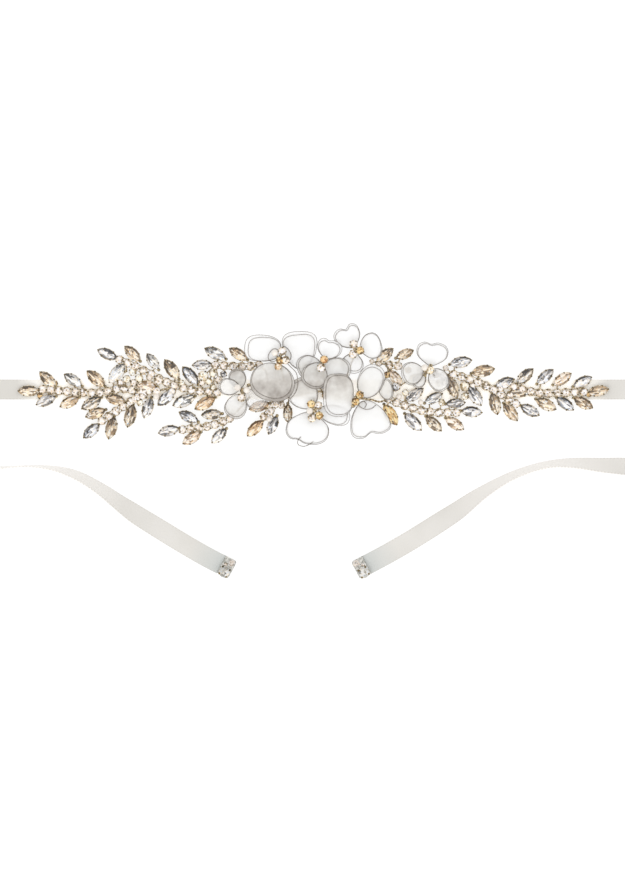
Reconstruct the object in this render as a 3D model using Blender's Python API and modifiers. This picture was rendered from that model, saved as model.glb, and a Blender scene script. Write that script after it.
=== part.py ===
"""A jewelled ribbon belt lying flat: a satin ribbon, leaf sprays of set stones and organza flowers."""

from collections import namedtuple
from math import atan2, ceil, cos, exp, hypot, pi, radians, sin

import bmesh
import bpy
from mathutils import Matrix, Vector

MM = 0.001
GAP = 0.3  # between neighbouring solids

# The ribbon, in millimetres. Roll is 0 where it lies on its face and 90 where it stands on its edge.
RIBBON_WIDTH = 15.9
RIBBON_WALL = 1.0
RIBBON_LIFT = 0.05  # keeps the twisted stretches off the surface by a hair
BEND_STEP = 7.0  # degrees of turn or roll between two sections
FLAT_SINE = 0.01  # a roll whose sine is under this lies flat
HEADING_SHARE = 0.01  # how far before and after a place its direction is taken, as a share of the span

Station = namedtuple("Station", "stretch x y roll")
RIBBON = [
    Station(*row)
    for row in (
        ("ribbon_tail_left", -67.6, -142.6, 0),
        ("ribbon_tail_left", -80.6, -136.1, 0),
        ("ribbon_tail_left", -103.6, -123.0, 0),
        ("ribbon_tail_left", -122.6, -111.3, 12),
        ("ribbon_tail_left", -141.2, -99.6, 25),
        ("ribbon_tail_left", -155.0, -89.7, 45),
        ("ribbon_tail_left", -167.8, -80.2, 57),
        ("ribbon_tail_left", -191.7, -67.1, 69),
        ("ribbon_tail_left", -213.5, -61.9, 83),
        ("ribbon_tail_left", -236.2, -61.6, 88),
        ("ribbon_loop_left", -250.0, -62.6, 84),
        ("ribbon_loop_left", -300.0, -67.0, 88),
        ("ribbon_loop_left", -340.0, -74.0, 90),
        ("ribbon_loop_left", -380.0, -79.0, 90),
        ("ribbon_loop_left", -414.0, -72.0, 90),
        ("ribbon_loop_left", -433.0, -52.0, 90),
        ("ribbon_loop_left", -437.0, -26.0, 90),
        ("ribbon_loop_left", -420.0, -3.0, 90),
        ("ribbon_loop_left", -390.0, 7.0, 86),
        ("ribbon_loop_left", -355.0, 7.0, 70),
        ("ribbon_loop_left", -320.0, 3.5, 40),
        ("ribbon_loop_left", -285.0, 0.5, 12),
        ("ribbon_center", -250.0, 0.0, 0),
        ("ribbon_center", -200.0, 0.0, 0),
        ("ribbon_center", 200.0, 0.0, 0),
        ("ribbon_loop_right", 250.0, 0.0, 0),
        ("ribbon_loop_right", 285.0, 0.5, 12),
        ("ribbon_loop_right", 320.0, 3.5, 40),
        ("ribbon_loop_right", 355.0, 7.0, 70),
        ("ribbon_loop_right", 390.0, 7.0, 86),
        ("ribbon_loop_right", 420.0, -3.0, 90),
        ("ribbon_loop_right", 437.0, -26.0, 88),
        ("ribbon_loop_right", 433.0, -52.0, 80),
        ("ribbon_loop_right", 414.0, -72.0, 68),
        ("ribbon_loop_right", 380.0, -79.0, 55),
        ("ribbon_loop_right", 340.0, -74.0, 44),
        ("ribbon_loop_right", 295.0, -65.5, 37),
        ("ribbon_tail_right", 250.0, -61.5, 33),
        ("ribbon_tail_right", 232.5, -60.6, 45),
        ("ribbon_tail_right", 204.4, -58.8, 64),
        ("ribbon_tail_right", 190.7, -59.5, 71),
        ("ribbon_tail_right", 176.4, -62.6, 72),
        ("ribbon_tail_right", 162.2, -67.6, 70),
        ("ribbon_tail_right", 134.6, -82.9, 54),
        ("ribbon_tail_right", 114.0, -98.1, 26),
        ("ribbon_tail_right", 100.2, -107.1, 12),
        ("ribbon_tail_right", 86.6, -115.8, 0),
        ("ribbon_tail_right", 58.6, -132.2, 0),
        ("end", 38.2, -143.0, 0),
    )
]

# The metal end caps: a lip over the ribbon's end, a block past it and two stones side by side.
CAP_LENGTH = 10.0
CAP_WIDTH = 16.0
CAP_LIP = 6.5
CAP_TOP = 2.6
LIP_INSET = 0.3  # the lip stands back from the block's sides and end, and proud of its top
LIP_PROUD = 0.15
CAP_STONE_SPREAD = 7.6
CAP_STONE_SIZE = 1.15
End = namedtuple("End", "name x y aim")
CAPS = [End("end_cap_left", -64.0, -144.5, -28), End("end_cap_right", 34.6, -144.9, 208)]

# Stones in their cups: a ring at each height, as wide as its share of the stone.
Ring = namedtuple("Ring", "height share")
Cut = namedtuple("Cut", "sides length width point rings")
LEAF_CUT = Cut(8, 17.1, 8.8, 1.0, (Ring(1.3, 0.62), Ring(3.3, 1.0), Ring(5.2, 0.55)))
CHATON_CUT = Cut(6, 6.4, 6.4, 0.0, (Ring(1.4, 1.0), Ring(5.6, 0.66)))

# The wire under a row of stones, and the short wire from the row to each leaf.
STEM_WIDTH, STEM_WALL, STEM_Z = 2.2, 1.1, 2.4
STALK_WIDTH, STALK_WALL, STALK_Z = 1.6, 0.9, 2.35
CHATON_PITCH = 6.8
PITCH_STEPS = 20  # places tried along each span for the next stone
STALK_START = 0.5  # how far from a leaf's middle its wire starts, as a share of half its length

# Each spray is one or more rows of round stones, through these points, with leaves set beside them.
Row = namedtuple("Row", "spray bare points")
ROWS = [
    Row("spray_left_main", 0, [(-215.7, 0.1), (-195.7, -1.5), (-166.8, -2.3), (-154.5, 0.5),
                               (-141.4, -0.7), (-124.4, -1.2)]),
    Row("spray_left_main", 1, [(-124.4, -1.2), (-117.0, 0.5), (-109.0, 3.4)]),
    Row("spray_left_main", 0, [(-168.4, -25.2), (-152.1, -14.2), (-134.0, -2.4)]),
    Row("spray_left_main", 0, [(-154.1, 23.8), (-134.9, 15.2), (-116.4, 5.8), (-96.4, -0.3),
                               (-76.0, -2.3)]),
    Row("spray_left_upper", 0, [(-77.6, 19.3), (-49.8, 18.5), (-42.5, 19.3)]),
    Row("spray_left_upper", 1, [(-42.5, 19.3), (-37.2, 14.0), (-35.6, 6.0)]),
    Row("spray_left_lower", 0, [(-104.0, -32.1), (-85.0, -29.6), (-71.6, -25.6), (-65.8, -22.9)]),
    Row("spray_left_lower", 1, [(-65.8, -22.9), (-57.0, -14.0), (-50.0, -6.0)]),
    Row("spray_middle", 0, [(-38.8, -22.0), (-34.0, -17.2), (-30.0, -11.6), (-25.2, -6.6)]),
    Row("spray_right_upper", 1, [(71.5, 4.0), (65.5, 10.0), (61.2, 19.6)]),
    Row("spray_right_upper", 0, [(61.2, 19.6), (68.4, 18.8)]),
    Row("spray_right_lower", 1, [(54.5, -3.6), (60.4, -7.6)]),
    Row("spray_right_lower", 0, [(60.4, -7.6), (73.2, -12.7), (93.9, -18.1), (115.0, -18.5)]),
    Row("spray_right_main", 0, [(112.4, 12.2), (132.2, 5.8), (151.4, -4.6), (162.5, -11.4)]),
    Row("spray_right_main", 1, [(145.5, -0.8), (153.8, 3.8)]),
    Row("spray_right_main", 0, [(153.8, 3.8), (176.8, -2.2), (216.6, -1.8)]),
]

# Leaf stones: the middle of each, and the way its outer tip points, in degrees.
Leaf = namedtuple("Leaf", "spray x y aim")
LEAVES = [
    Leaf(*row)
    for row in (
        ("spray_left_main", -226.7, -1.2, 180),
        ("spray_left_main", -211.6, 8.2, 137),
        ("spray_left_main", -212.9, -8.9, 203),
        ("spray_left_main", -191.2, 7.4, 146),
        ("spray_left_main", -194.1, -10.1, 206),
        ("spray_left_main", -172.5, 8.6, 139),
        ("spray_left_main", -176.6, -11.0, 210),
        ("spray_left_main", -157.0, -8.1, 165),
        ("spray_left_main", -176.6, -33.0, 222),
        ("spray_left_main", -173.3, -19.1, 200),
        ("spray_left_main", -160.6, -30.1, 256),
        ("spray_left_main", -145.5, -20.3, 256),
        ("spray_left_main", -131.6, -14.6, 250),
        ("spray_left_main", -163.8, 28.2, 156),
        ("spray_left_main", -143.8, 28.6, 136),
        ("spray_left_main", -154.9, 12.3, 230),
        ("spray_left_main", -127.6, 22.2, 126),
        ("spray_left_main", -111.8, 15.6, 126),
        ("spray_left_main", -97.2, 11.1, 131),
        ("spray_left_main", -132.4, 2.8, 175),
        ("spray_left_main", -116.8, -6.5, 223),
        ("spray_left_main", -102.1, -9.3, 203),
        ("spray_left_main", -85.8, -11.0, 210),
        ("spray_left_upper", -88.2, 19.7, 183),
        ("spray_left_upper", -77.6, 28.6, 153),
        ("spray_left_upper", -59.2, 28.2, 147),
        ("spray_left_lower", -114.8, -33.0, 193),
        ("spray_left_lower", -98.8, -21.1, 153),
        ("spray_left_lower", -80.5, -19.9, 184),
        ("spray_left_lower", -96.4, -38.8, 213),
        ("spray_left_lower", -74.6, -37.0, 224),
        ("spray_middle", -42.5, -13.4, 197),
        ("spray_middle", -45.8, -31.0, 225),
        ("spray_middle", -31.8, -29.3, 245),
        ("spray_middle", -19.2, -19.9, 270),
        ("spray_right_upper", 57.8, 27.2, 40),
        ("spray_right_upper", 73.5, 28.4, 24),
        ("spray_right_upper", 67.0, 9.3, -50),
        ("spray_right_lower", 127.1, -17.8, -5),
        ("spray_right_lower", 114.3, -11.0, 4),
        ("spray_right_lower", 81.4, -4.2, 35),
        ("spray_right_lower", 96.8, -7.0, 28),
        ("spray_right_lower", 61.3, -20.6, -58),
        ("spray_right_lower", 80.3, -26.0, -45),
        ("spray_right_lower", 96.8, -27.4, -43),
        ("spray_right_lower", 113.6, -27.4, -32),
        ("spray_right_main", 118.2, 21.5, 11),
        ("spray_right_main", 135.7, 14.7, 11),
        ("spray_right_main", 153.6, 5.4, 20),
        ("spray_right_main", 111.8, 1.9, -67),
        ("spray_right_main", 129.7, -4.9, -58),
        ("spray_right_main", 145.7, -11.7, -77),
        ("spray_right_main", 158.2, -18.1, -52),
        ("spray_right_main", 228.2, -1.2, 10),
        ("spray_right_main", 215.7, 6.1, 27),
        ("spray_right_main", 199.4, 8.3, 32),
        ("spray_right_main", 185.8, 10.2, 42),
        ("spray_right_main", 169.7, 10.5, 43),
        ("spray_right_main", 165.4, -2.1, 3),
        ("spray_right_main", 216.3, -10.8, -28),
        ("spray_right_main", 201.7, -11.4, -36),
        ("spray_right_main", 186.7, -12.1, -27),
        ("spray_right_main", 173.6, -16.7, -28),
    )
]

# Flowers: the centre, where its wire meets the ribbon, and how many petal walls its heart rises past.
Flower = namedtuple("Flower", "name x y arm_x arm_y levels")
FLOWERS = [
    Flower("flower_1", -55.2, -1.2, -55.2, -1.2, 2),
    Flower("flower_2", -26.0, 22.8, -22.8, 6.0, 3),
    Flower("flower_3", 8.4, 22.8, 9.2, 6.5, 4),
    Flower("flower_4", 34.8, 31.6, 26.0, 6.5, 1),
    Flower("flower_5", 35.6, -6.8, 35.6, -6.8, 4),
    Flower("flower_6", 1.2, -16.4, 1.2, -6.5, 2),
    Flower("flower_7", 90.8, 14.8, 90.0, 6.0, 1),
]

# Petals: the middle, from the flower's centre, and the way the tip points. Egg is how much wider the
# tip is than the root, power squares the outline (2 is round), level counts the petal walls below.
Petal = namedtuple("Petal", "flower x y aim length width egg power notch side level")
PETALS = [
    Petal(*row)
    for row in (
        ("flower_1", -11.0, 3.0, 170, 16.8, 13.0, 0.1, 2.3, 0.0, 0.0, 1),
        ("flower_1", -5.2, -12.1, 244, 20.3, 17.2, 0.1, 2.3, 0.0, 0.0, 2),
        ("flower_1", -4.4, 9.6, 110, 15.5, 13.5, 0.1, 2.2, 0.0, 0.0, 0),
        ("flower_1", 9.9, -6.5, 327, 19.2, 17.0, 0.1, 2.3, 0.0, 0.0, 0),
        ("flower_2", -13.4, 9.9, 178, 29.2, 20.8, 0.03, 3.0, 0.0, 0.0, 0),
        ("flower_2", 16.0, 8.4, 93, 29.6, 26.0, 0.22, 3.0, 0.0, 0.0, 0),
        ("flower_2", -5.8, -17.0, 255, 30.2, 35.4, 0.05, 2.2, 0.0, 0.0, 3),
        ("flower_3", 4.8, 9.2, 70, 15.6, 19.5, 0.1, 2.6, 1.5, 0.22, 2),
        ("flower_3", 10.7, -7.6, 325, 21.4, 21.6, 0.1, 2.2, 0.0, 0.0, 1),
        ("flower_3", -6.4, -11.6, 245, 21.0, 20.5, 0.1, 2.2, 0.0, 0.0, 3),
        ("flower_3", -11.2, -4.8, 205, 19.0, 19.0, 0.1, 2.2, 0.0, 0.0, 1),
        ("flower_4", -6.4, 10.0, 118, 18.6, 20.5, 0.2, 2.6, 3.0, -0.1, 0),
        ("flower_4", 11.7, 2.8, 15, 17.2, 20.4, 0.1, 2.3, 0.0, 0.0, 0),
        ("flower_4", -2.9, -10.5, 258, 16.5, 17.5, 0.1, 2.3, 0.0, 0.0, 0),
        ("flower_5", -15.0, 2.2, 180, 24.0, 34.0, 0.0, 3.0, 0.0, 0.0, 4),
        ("flower_5", 9.0, -16.6, 284, 29.2, 29.2, 0.29, 3.2, 3.1, -0.04, 0),
        ("flower_5", 10.6, 13.0, 66, 27.6, 20.6, 0.05, 2.2, 0.0, 0.0, 1),
        ("flower_5", 22.9, 6.6, 10, 11.3, 17.0, 0.1, 2.2, 0.0, 0.0, 0),
        ("flower_6", -5.0, -14.4, 262, 25.8, 34.0, 0.08, 2.4, 2.4, -0.4, 1),
        ("flower_6", -8.4, 12.7, 124, 25.6, 24.0, 0.1, 2.2, 0.0, 0.0, 2),
        ("flower_6", 15.8, -3.8, 345, 26.0, 15.4, 0.1, 2.4, 0.0, 0.0, 0),
        ("flower_7", 4.4, 12.9, 82, 20.0, 24.5, 0.15, 2.5, 1.8, 0.13, 0),
        ("flower_7", -11.1, -1.9, 200, 17.6, 18.0, 0.1, 2.3, 0.0, 0.0, 1),
        ("flower_7", 9.6, -7.2, 300, 19.0, 16.0, 0.0, 2.3, 0.0, 0.0, 0),
        ("flower_7", -5.6, -7.6, 240, 13.0, 10.0, 0.1, 2.2, 0.0, 0.0, 0),
    )
]
PETAL_WALL = 1.0
PETAL_FLOOR = 6.5  # the middle of the lowest petal's wall, over the stones
PETAL_PITCH = 1.35  # from one petal wall to the next
PETAL_CELLS_ALONG, PETAL_CELLS_ACROSS = 4, 6
NOTCH_WIDTH = 0.24
BOWL_RISE, BOWL_REACH = 3.5, 13.0

# Hearts: a post through the petals' roots, a flared pad on it, and round stones and pearls on the pad.
POST_RADIUS = 2.0
POST_FOOT = 1.3
POST_SIDES = 8
PAD_RADIUS, PAD_HEIGHT = 4.0, 2.0
PAD_FOOT = 1.05  # the pad's foot is this much wider than the post
PEARL_RADIUS = 2.7
PEARL_RISE = 1.5
BEAD_TURN = 15  # degrees that a heart's stones are turned from those of the rows
ARM_WIDTH, ARM_WALL, ARM_Z = 2.0, 1.0, 1.9
Bead = namedtuple("Bead", "flower kind x y")
BEADS = [
    Bead(*row)
    for row in (
        ("flower_1", "pearl", -4.4, 2.4),
        ("flower_1", "pearl", 2.8, 0.4),
        ("flower_1", "stone", -1.2, -5.6),
        ("flower_2", "stone", 0.0, -1.3),
        ("flower_2", "stone", 1.9, 7.1),
        ("flower_2", "stone", 4.6, 0.2),
        ("flower_2", "pearl", -4.0, 6.0),
        ("flower_3", "stone", 0.8, 0.6),
        ("flower_3", "stone", -1.5, -5.9),
        ("flower_4", "stone", 3.1, -0.9),
        ("flower_4", "stone", -2.6, -3.6),
        ("flower_4", "pearl", -2.2, 4.1),
        ("flower_5", "stone", 1.9, 2.2),
        ("flower_5", "stone", -1.5, -3.1),
        ("flower_6", "stone", -2.3, 4.6),
        ("flower_6", "stone", 4.2, -4.6),
        ("flower_6", "stone", -1.6, -6.5),
        ("flower_6", "stone", 3.4, 3.4),
        ("flower_6", "pearl", -3.4, -0.8),
        ("flower_7", "pearl", -1.6, 2.4),
        ("flower_7", "stone", 2.6, 0.4),
    )
]

COLORS = {
    "ribbon": ((0.80, 0.77, 0.73, 1), 0.35, 0.0),
    "spray": ((0.82, 0.68, 0.44, 1), 0.15, 1.0),
    "petal": ((0.92, 0.91, 0.88, 1), 0.5, 0.0),
    "heart": ((0.84, 0.66, 0.34, 1), 0.15, 1.0),
    "cap": ((0.80, 0.80, 0.79, 1), 0.2, 1.0),
}


def material(name):
    """The one material of a kind of piece, made the first time that it is asked for."""
    found = bpy.data.materials.get(name)
    if found:
        return found
    made = bpy.data.materials.new(name)
    made.use_nodes = True
    shader = made.node_tree.nodes["Principled BSDF"]
    color, roughness, metallic = COLORS[name]
    shader.inputs["Base Color"].default_value = color
    shader.inputs["Roughness"].default_value = roughness
    shader.inputs["Metallic"].default_value = metallic
    return made


def collection(name):
    made = bpy.data.collections.new(name)
    bpy.context.scene.collection.children.link(made)
    return made


def finished(bm, name):
    """The mesh of a bmesh in millimetres, in metres."""
    bmesh.ops.scale(bm, vec=(MM, MM, MM), verts=bm.verts)
    mesh = bpy.data.meshes.new(name)
    bm.to_mesh(mesh)
    bm.free()
    return mesh


def node(name, mesh, kind, home):
    """A named piece of the belt."""
    mesh.materials.append(material(kind))
    made = bpy.data.objects.new(name, mesh)
    home.objects.link(made)
    return made


def helper(mesh, home, x=0.0, y=0.0, z=0.0, aim=0.0, scale=1.0):
    """A copy of a shape that is joined to a node and isn't a piece by itself."""
    made = bpy.data.objects.new(mesh.name, mesh)
    made.matrix_world = (
        Matrix.Translation(Vector((x, y, z)) * MM)
        @ Matrix.Rotation(radians(aim), 4, "Z")
        @ Matrix.Diagonal((scale, scale, scale, 1))
    )
    made.hide_render = True
    made.display_type = "WIRE"
    home.objects.link(made)
    return made


def solidify(target, wall):
    shell = target.modifiers.new("wall", "SOLIDIFY")
    shell.thickness = wall * MM
    shell.offset = 0


def fuse(target, home):
    """Makes one body of a node and the helpers in a collection."""
    union = target.modifiers.new("fused", "BOOLEAN")
    union.operation = "UNION"
    union.operand_type = "COLLECTION"
    union.collection = home
    union.solver = "EXACT"


def slopes(values, lengths):
    """The slope at each point of a row of values, that of a parabola through it and its neighbours."""
    steps = [(b - a) / length for a, b, length in zip(values, values[1:], lengths)]
    inner = [
        (before * after_length + after * before_length) / (before_length + after_length)
        for before, after, before_length, after_length in zip(steps, steps[1:], lengths, lengths[1:])
    ]
    return [steps[0], *inner, steps[-1]]


def hermite(t, start, end, start_slope, end_slope, length):
    square, cube = t * t, t * t * t
    return (
        start * (2 * cube - 3 * square + 1)
        + end * (3 * square - 2 * cube)
        + start_slope * length * (cube - 2 * square + t)
        + end_slope * length * (cube - square)
    )


def course(points):
    """A smooth course through rows of numbers, asked for by the span's number and the share along it."""
    lengths = [hypot(b[0] - a[0], b[1] - a[1]) for a, b in zip(points, points[1:])]
    columns = list(zip(*points))
    column_slopes = [slopes(column, lengths) for column in columns]

    def at(span, share):
        return [
            hermite(share, column[span], column[span + 1], slope[span], slope[span + 1], lengths[span])
            for column, slope in zip(columns, column_slopes)
        ]

    return at, lengths


def heading(at, span, share):
    """The direction of a course, in degrees."""
    before = at(span, max(share - HEADING_SHARE, 0.0))
    after = at(span, min(share + HEADING_SHARE, 1.0))
    return atan2(after[1] - before[1], after[0] - before[0]) * 180 / pi


def turn(a, b):
    return abs((b - a + 180) % 360 - 180)


def strip(name, sections, width):
    """An open strip on its sections, each a place and the direction across."""
    bm = bmesh.new()
    last = len(sections) - 1
    bmesh.ops.create_grid(bm, x_segments=last, y_segments=1, size=0.5)
    for vert in bm.verts:
        place, across = sections[round((vert.co.x + 0.5) * last)]
        vert.co = place + across * (width / 2 if vert.co.y > 0 else -width / 2)
    return finished(bm, name)


def ribbon_section(at, span, share):
    """Where the ribbon is and how it lies there, its lower edge on the surface."""
    x, y, roll = at(span, share)
    along, roll = radians(heading(at, span, share)), radians(roll)
    height = RIBBON_WIDTH / 2 * abs(sin(roll)) + RIBBON_WALL / 2 * cos(roll)
    lift = RIBBON_LIFT if abs(sin(roll)) > FLAT_SINE else 0.0
    across = Vector((-sin(along) * cos(roll), cos(along) * cos(roll), sin(roll)))
    return Vector((x, y, height + lift)), across


def ribbon(home):
    """The ribbon's five stretches, one after another, a seam's gap between them."""
    at, lengths = course([(s.x, s.y, s.roll) for s in RIBBON])
    stretches = {}
    for span, (here, there) in enumerate(zip(RIBBON, RIBBON[1:])):
        bend = turn(heading(at, span, 0.0), heading(at, span, 1.0))
        cells = max(1, ceil(max(bend, abs(there.roll - here.roll)) / BEND_STEP))
        starts = span == 0 or RIBBON[span - 1].stretch != here.stretch
        ends = there.stretch != here.stretch
        for cell in range(0 if starts else 1, cells + 1):
            share = cell / cells
            if starts and cell == 0:
                share = GAP / 2 / lengths[span]
            if ends and cell == cells:
                share = 1 - GAP / 2 / lengths[span]
            stretches.setdefault(here.stretch, []).append(ribbon_section(at, span, share))
    for name, sections in stretches.items():
        solidify(node(name, strip(name, sections, RIBBON_WIDTH), "ribbon", home), RIBBON_WALL)


def cut_stone(name, cut):
    """A stone in its cup, round or drawn out to a point at both ends, from its foot up to its table."""
    bm = bmesh.new()
    bmesh.ops.create_cone(bm, cap_ends=True, segments=cut.sides, radius1=0.5, radius2=0.5, depth=1)
    rings = [[vert for vert in bm.verts if vert.co.z < 0], [vert for vert in bm.verts if vert.co.z > 0]]
    for _ in cut.rings[2:]:
        top = next(face for face in bm.faces if set(face.verts) == set(rings[-1]))
        rings.append(list(bmesh.ops.extrude_discrete_faces(bm, faces=[top])["faces"][0].verts))
    for ring, verts in zip(cut.rings, rings):
        for vert in verts:
            across = 2 * vert.co.y
            vert.co = (
                vert.co.x * cut.length * ring.share,
                across * abs(across) ** cut.point * cut.width / 2 * ring.share,
                ring.height,
            )
    return finished(bm, name)


def flat_strip(name, points, width, wall, z, home):
    """A level wire between points, as a strip with a wall."""
    at, lengths = course(points)
    sections = []
    for span in range(len(lengths)):
        for share in (0.0, 0.5) if len(lengths) > 1 else (0.0,):
            sections.append((span, share))
    sections.append((len(lengths) - 1, 1.0))
    placed = []
    for span, share in sections:
        x, y = at(span, share)
        along = radians(heading(at, span, share))
        placed.append((Vector((x, y, z)), Vector((-sin(along), cos(along), 0))))
    made = helper(strip(name, placed, width), home)
    solidify(made, wall)
    return made


def stones_along(points):
    """Places at an even pitch along a row's course."""
    at, lengths = course(points)
    fine = [at(span, step / PITCH_STEPS) for span in range(len(lengths)) for step in range(PITCH_STEPS)]
    fine.append(at(len(lengths) - 1, 1.0))
    travelled = [0.0]
    for a, b in zip(fine, fine[1:]):
        travelled.append(travelled[-1] + hypot(b[0] - a[0], b[1] - a[1]))
    count = max(1, round(travelled[-1] / CHATON_PITCH))
    places = []
    for number in range(count + 1):
        wanted = travelled[-1] * number / count
        places.append(fine[min(range(len(fine)), key=lambda i: abs(travelled[i] - wanted))])
    return places


def inner_point(leaf):
    """Where a leaf's wire comes out from under it."""
    reach = LEAF_CUT.length / 2 * STALK_START
    return leaf.x - reach * cos(radians(leaf.aim)), leaf.y - reach * sin(radians(leaf.aim))


def nearest(x, y, places):
    return min(places, key=lambda place: hypot(place[0] - x, place[1] - y))


def spray(name, leaf_mesh, chaton_mesh, home):
    """One spray: its rows of round stones and its leaves, all on one wire frame."""
    pieces = collection(name + "_pieces")
    rows = [row for row in ROWS if row.spray == name]
    places = []
    for row in rows[1:]:
        flat_strip(name + "_stem", row.points, STEM_WIDTH, STEM_WALL, STEM_Z, pieces)
    for row in rows:
        row_places = stones_along(row.points)
        places += row_places
        if not row.bare:
            for x, y in row_places:
                helper(chaton_mesh, pieces, x, y)
    for leaf in LEAVES:
        if leaf.spray == name:
            helper(leaf_mesh, pieces, leaf.x, leaf.y, aim=leaf.aim)
            start = inner_point(leaf)
            stalk = [start, nearest(*start, places)]
            flat_strip(name + "_stalk", stalk, STALK_WIDTH, STALK_WALL, STALK_Z, pieces)
    trunk = flat_strip(name, rows[0].points, STEM_WIDTH, STEM_WALL, STEM_Z, home)
    trunk.name = name
    trunk.hide_render = False
    trunk.display_type = "TEXTURED"
    trunk.data.materials.append(material("spray"))
    fuse(trunk, pieces)


def bowl(x, y):
    """How far the petals have risen at a place: each flower opens like a shallow bowl."""
    near = sum(exp(-((hypot(x - f.x, y - f.y) / BOWL_REACH) ** 2)) for f in FLOWERS)
    return BOWL_RISE * (1 - near)


def squared_disc(u, v, power):
    """A place in a unit square, moved into a disc that a power makes square."""
    u, v = u * (1 - v * v / 2) ** 0.5, v * (1 - u * u / 2) ** 0.5
    size = hypot(u, v)
    if size == 0:
        return u, v
    share = (abs(u / size) ** power + abs(v / size) ** power) ** (-1 / power)
    return u * share, v * share


def petal(name, shape, flower, home):
    """A petal: a squared egg with a notch in its tip, laid on the flower's bowl."""
    bm = bmesh.new()
    bmesh.ops.create_grid(bm, x_segments=PETAL_CELLS_ALONG, y_segments=PETAL_CELLS_ACROSS, size=1)
    aim = radians(shape.aim)
    for vert in bm.verts:
        u, v = squared_disc(vert.co.x, vert.co.y, shape.power)
        along = shape.length / 2 * u
        along -= shape.notch * exp(-(((v - shape.side) / NOTCH_WIDTH) ** 2)) * max(u, 0) ** 3
        across = shape.width / 2 * v * (1 + shape.egg * u)
        x = flower.x + shape.x + along * cos(aim) - across * sin(aim)
        y = flower.y + shape.y + along * sin(aim) + across * cos(aim)
        vert.co = (x, y, PETAL_FLOOR + shape.level * PETAL_PITCH + bowl(x, y))
    solidify(node(name, finished(bm, name), "petal", home), PETAL_WALL)


def round_solid(name, low_radius, high_radius, low, high):
    """A post or a flared pad, by its radii and heights."""
    bm = bmesh.new()
    bmesh.ops.create_cone(
        bm,
        cap_ends=True,
        segments=POST_SIDES,
        radius1=low_radius,
        radius2=high_radius,
        depth=high - low,
    )
    bmesh.ops.translate(bm, vec=(0, 0, (low + high) / 2), verts=bm.verts)
    return finished(bm, name)


def heart(flower, chaton_mesh, pearl_mesh, home):
    """A flower's heart: post, pad, stones and pearls, and the wire that ties it to the ribbon."""
    name = flower.name + "_heart"
    pieces = collection(name + "_pieces")
    top = PETAL_FLOOR + flower.levels * PETAL_PITCH + PETAL_WALL / 2 + GAP
    post = node(name, round_solid(name, POST_RADIUS, POST_RADIUS, POST_FOOT, top + GAP), "heart", home)
    post.location = Vector((flower.x, flower.y, 0)) * MM
    pad = round_solid(name + "_pad", POST_RADIUS * PAD_FOOT, PAD_RADIUS, top, top + PAD_HEIGHT)
    helper(pad, pieces, flower.x, flower.y)
    stalk_z = top + PAD_HEIGHT - STALK_WALL / 2
    stone_z = top + PAD_HEIGHT - CHATON_CUT.rings[0].height - GAP
    for bead in BEADS:
        if bead.flower == flower.name:
            x, y = flower.x + bead.x, flower.y + bead.y
            stalk = [(flower.x, flower.y), (x, y)]
            flat_strip(name + "_stalk", stalk, STALK_WIDTH, STALK_WALL, stalk_z, pieces)
            if bead.kind == "pearl":
                helper(pearl_mesh, pieces, x, y, top + PAD_HEIGHT + PEARL_RISE)
            else:
                helper(chaton_mesh, pieces, x, y, stone_z, aim=BEAD_TURN)
    if (flower.arm_x, flower.arm_y) != (flower.x, flower.y):
        arm = [(flower.x, flower.y), (flower.arm_x, flower.arm_y)]
        flat_strip(name + "_arm", arm, ARM_WIDTH, ARM_WALL, ARM_Z, pieces)
    fuse(post, pieces)


def box(name, x_low, x_high, width, z_low, z_high):
    bm = bmesh.new()
    bmesh.ops.create_cube(bm, size=1)
    bmesh.ops.scale(bm, vec=(x_high - x_low, width, z_high - z_low), verts=bm.verts)
    bmesh.ops.translate(bm, vec=((x_low + x_high) / 2, 0, (z_low + z_high) / 2), verts=bm.verts)
    return finished(bm, name)


def end_cap(end, chaton_mesh, home):
    """An end cap, modelled with its outer end at the origin and turned to its place."""
    pieces = collection(end.name + "_pieces")
    lip_foot = RIBBON_WALL + GAP
    cap = node(end.name, box(end.name, CAP_LIP - CAP_LENGTH, 0, CAP_WIDTH, 0, CAP_TOP), "cap", home)
    cap.location = Vector((end.x, end.y, 0)) * MM
    cap.rotation_euler.z = radians(end.aim)
    lip_width = CAP_WIDTH - LIP_INSET
    lip = box(end.name + "_lip", -CAP_LENGTH, -LIP_INSET, lip_width, lip_foot, CAP_TOP + LIP_PROUD)
    helper(lip, pieces, end.x, end.y, aim=end.aim)
    along, across = radians(end.aim), radians(end.aim + 90)
    for side in (-0.5, 0.5):
        x = end.x - CAP_LENGTH / 2 * cos(along) + side * CAP_STONE_SPREAD * cos(across)
        y = end.y - CAP_LENGTH / 2 * sin(along) + side * CAP_STONE_SPREAD * sin(across)
        helper(chaton_mesh, pieces, x, y, aim=end.aim, scale=CAP_STONE_SIZE)
    fuse(cap, pieces)


def belt():
    for old in list(bpy.data.objects):
        bpy.data.objects.remove(old)
    home = collection("jewelled_ribbon_belt")
    ribbon(home)
    leaf_mesh = cut_stone("leaf_stone", LEAF_CUT)
    chaton_mesh = cut_stone("round_stone", CHATON_CUT)
    bm = bmesh.new()
    bmesh.ops.create_icosphere(bm, subdivisions=1, radius=PEARL_RADIUS)
    pearl_mesh = finished(bm, "pearl")
    for end in CAPS:
        end_cap(end, chaton_mesh, home)
    for name in dict.fromkeys(row.spray for row in ROWS):
        spray(name, leaf_mesh, chaton_mesh, home)
    for flower in FLOWERS:
        heart(flower, chaton_mesh, pearl_mesh, home)
        for number, shape in enumerate((p for p in PETALS if p.flower == flower.name), 1):
            petal(f"{flower.name}_petal_{number}", shape, flower, home)


belt()
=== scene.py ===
import math
import random

import bmesh
import bpy
from mathutils import Matrix, Vector


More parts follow.
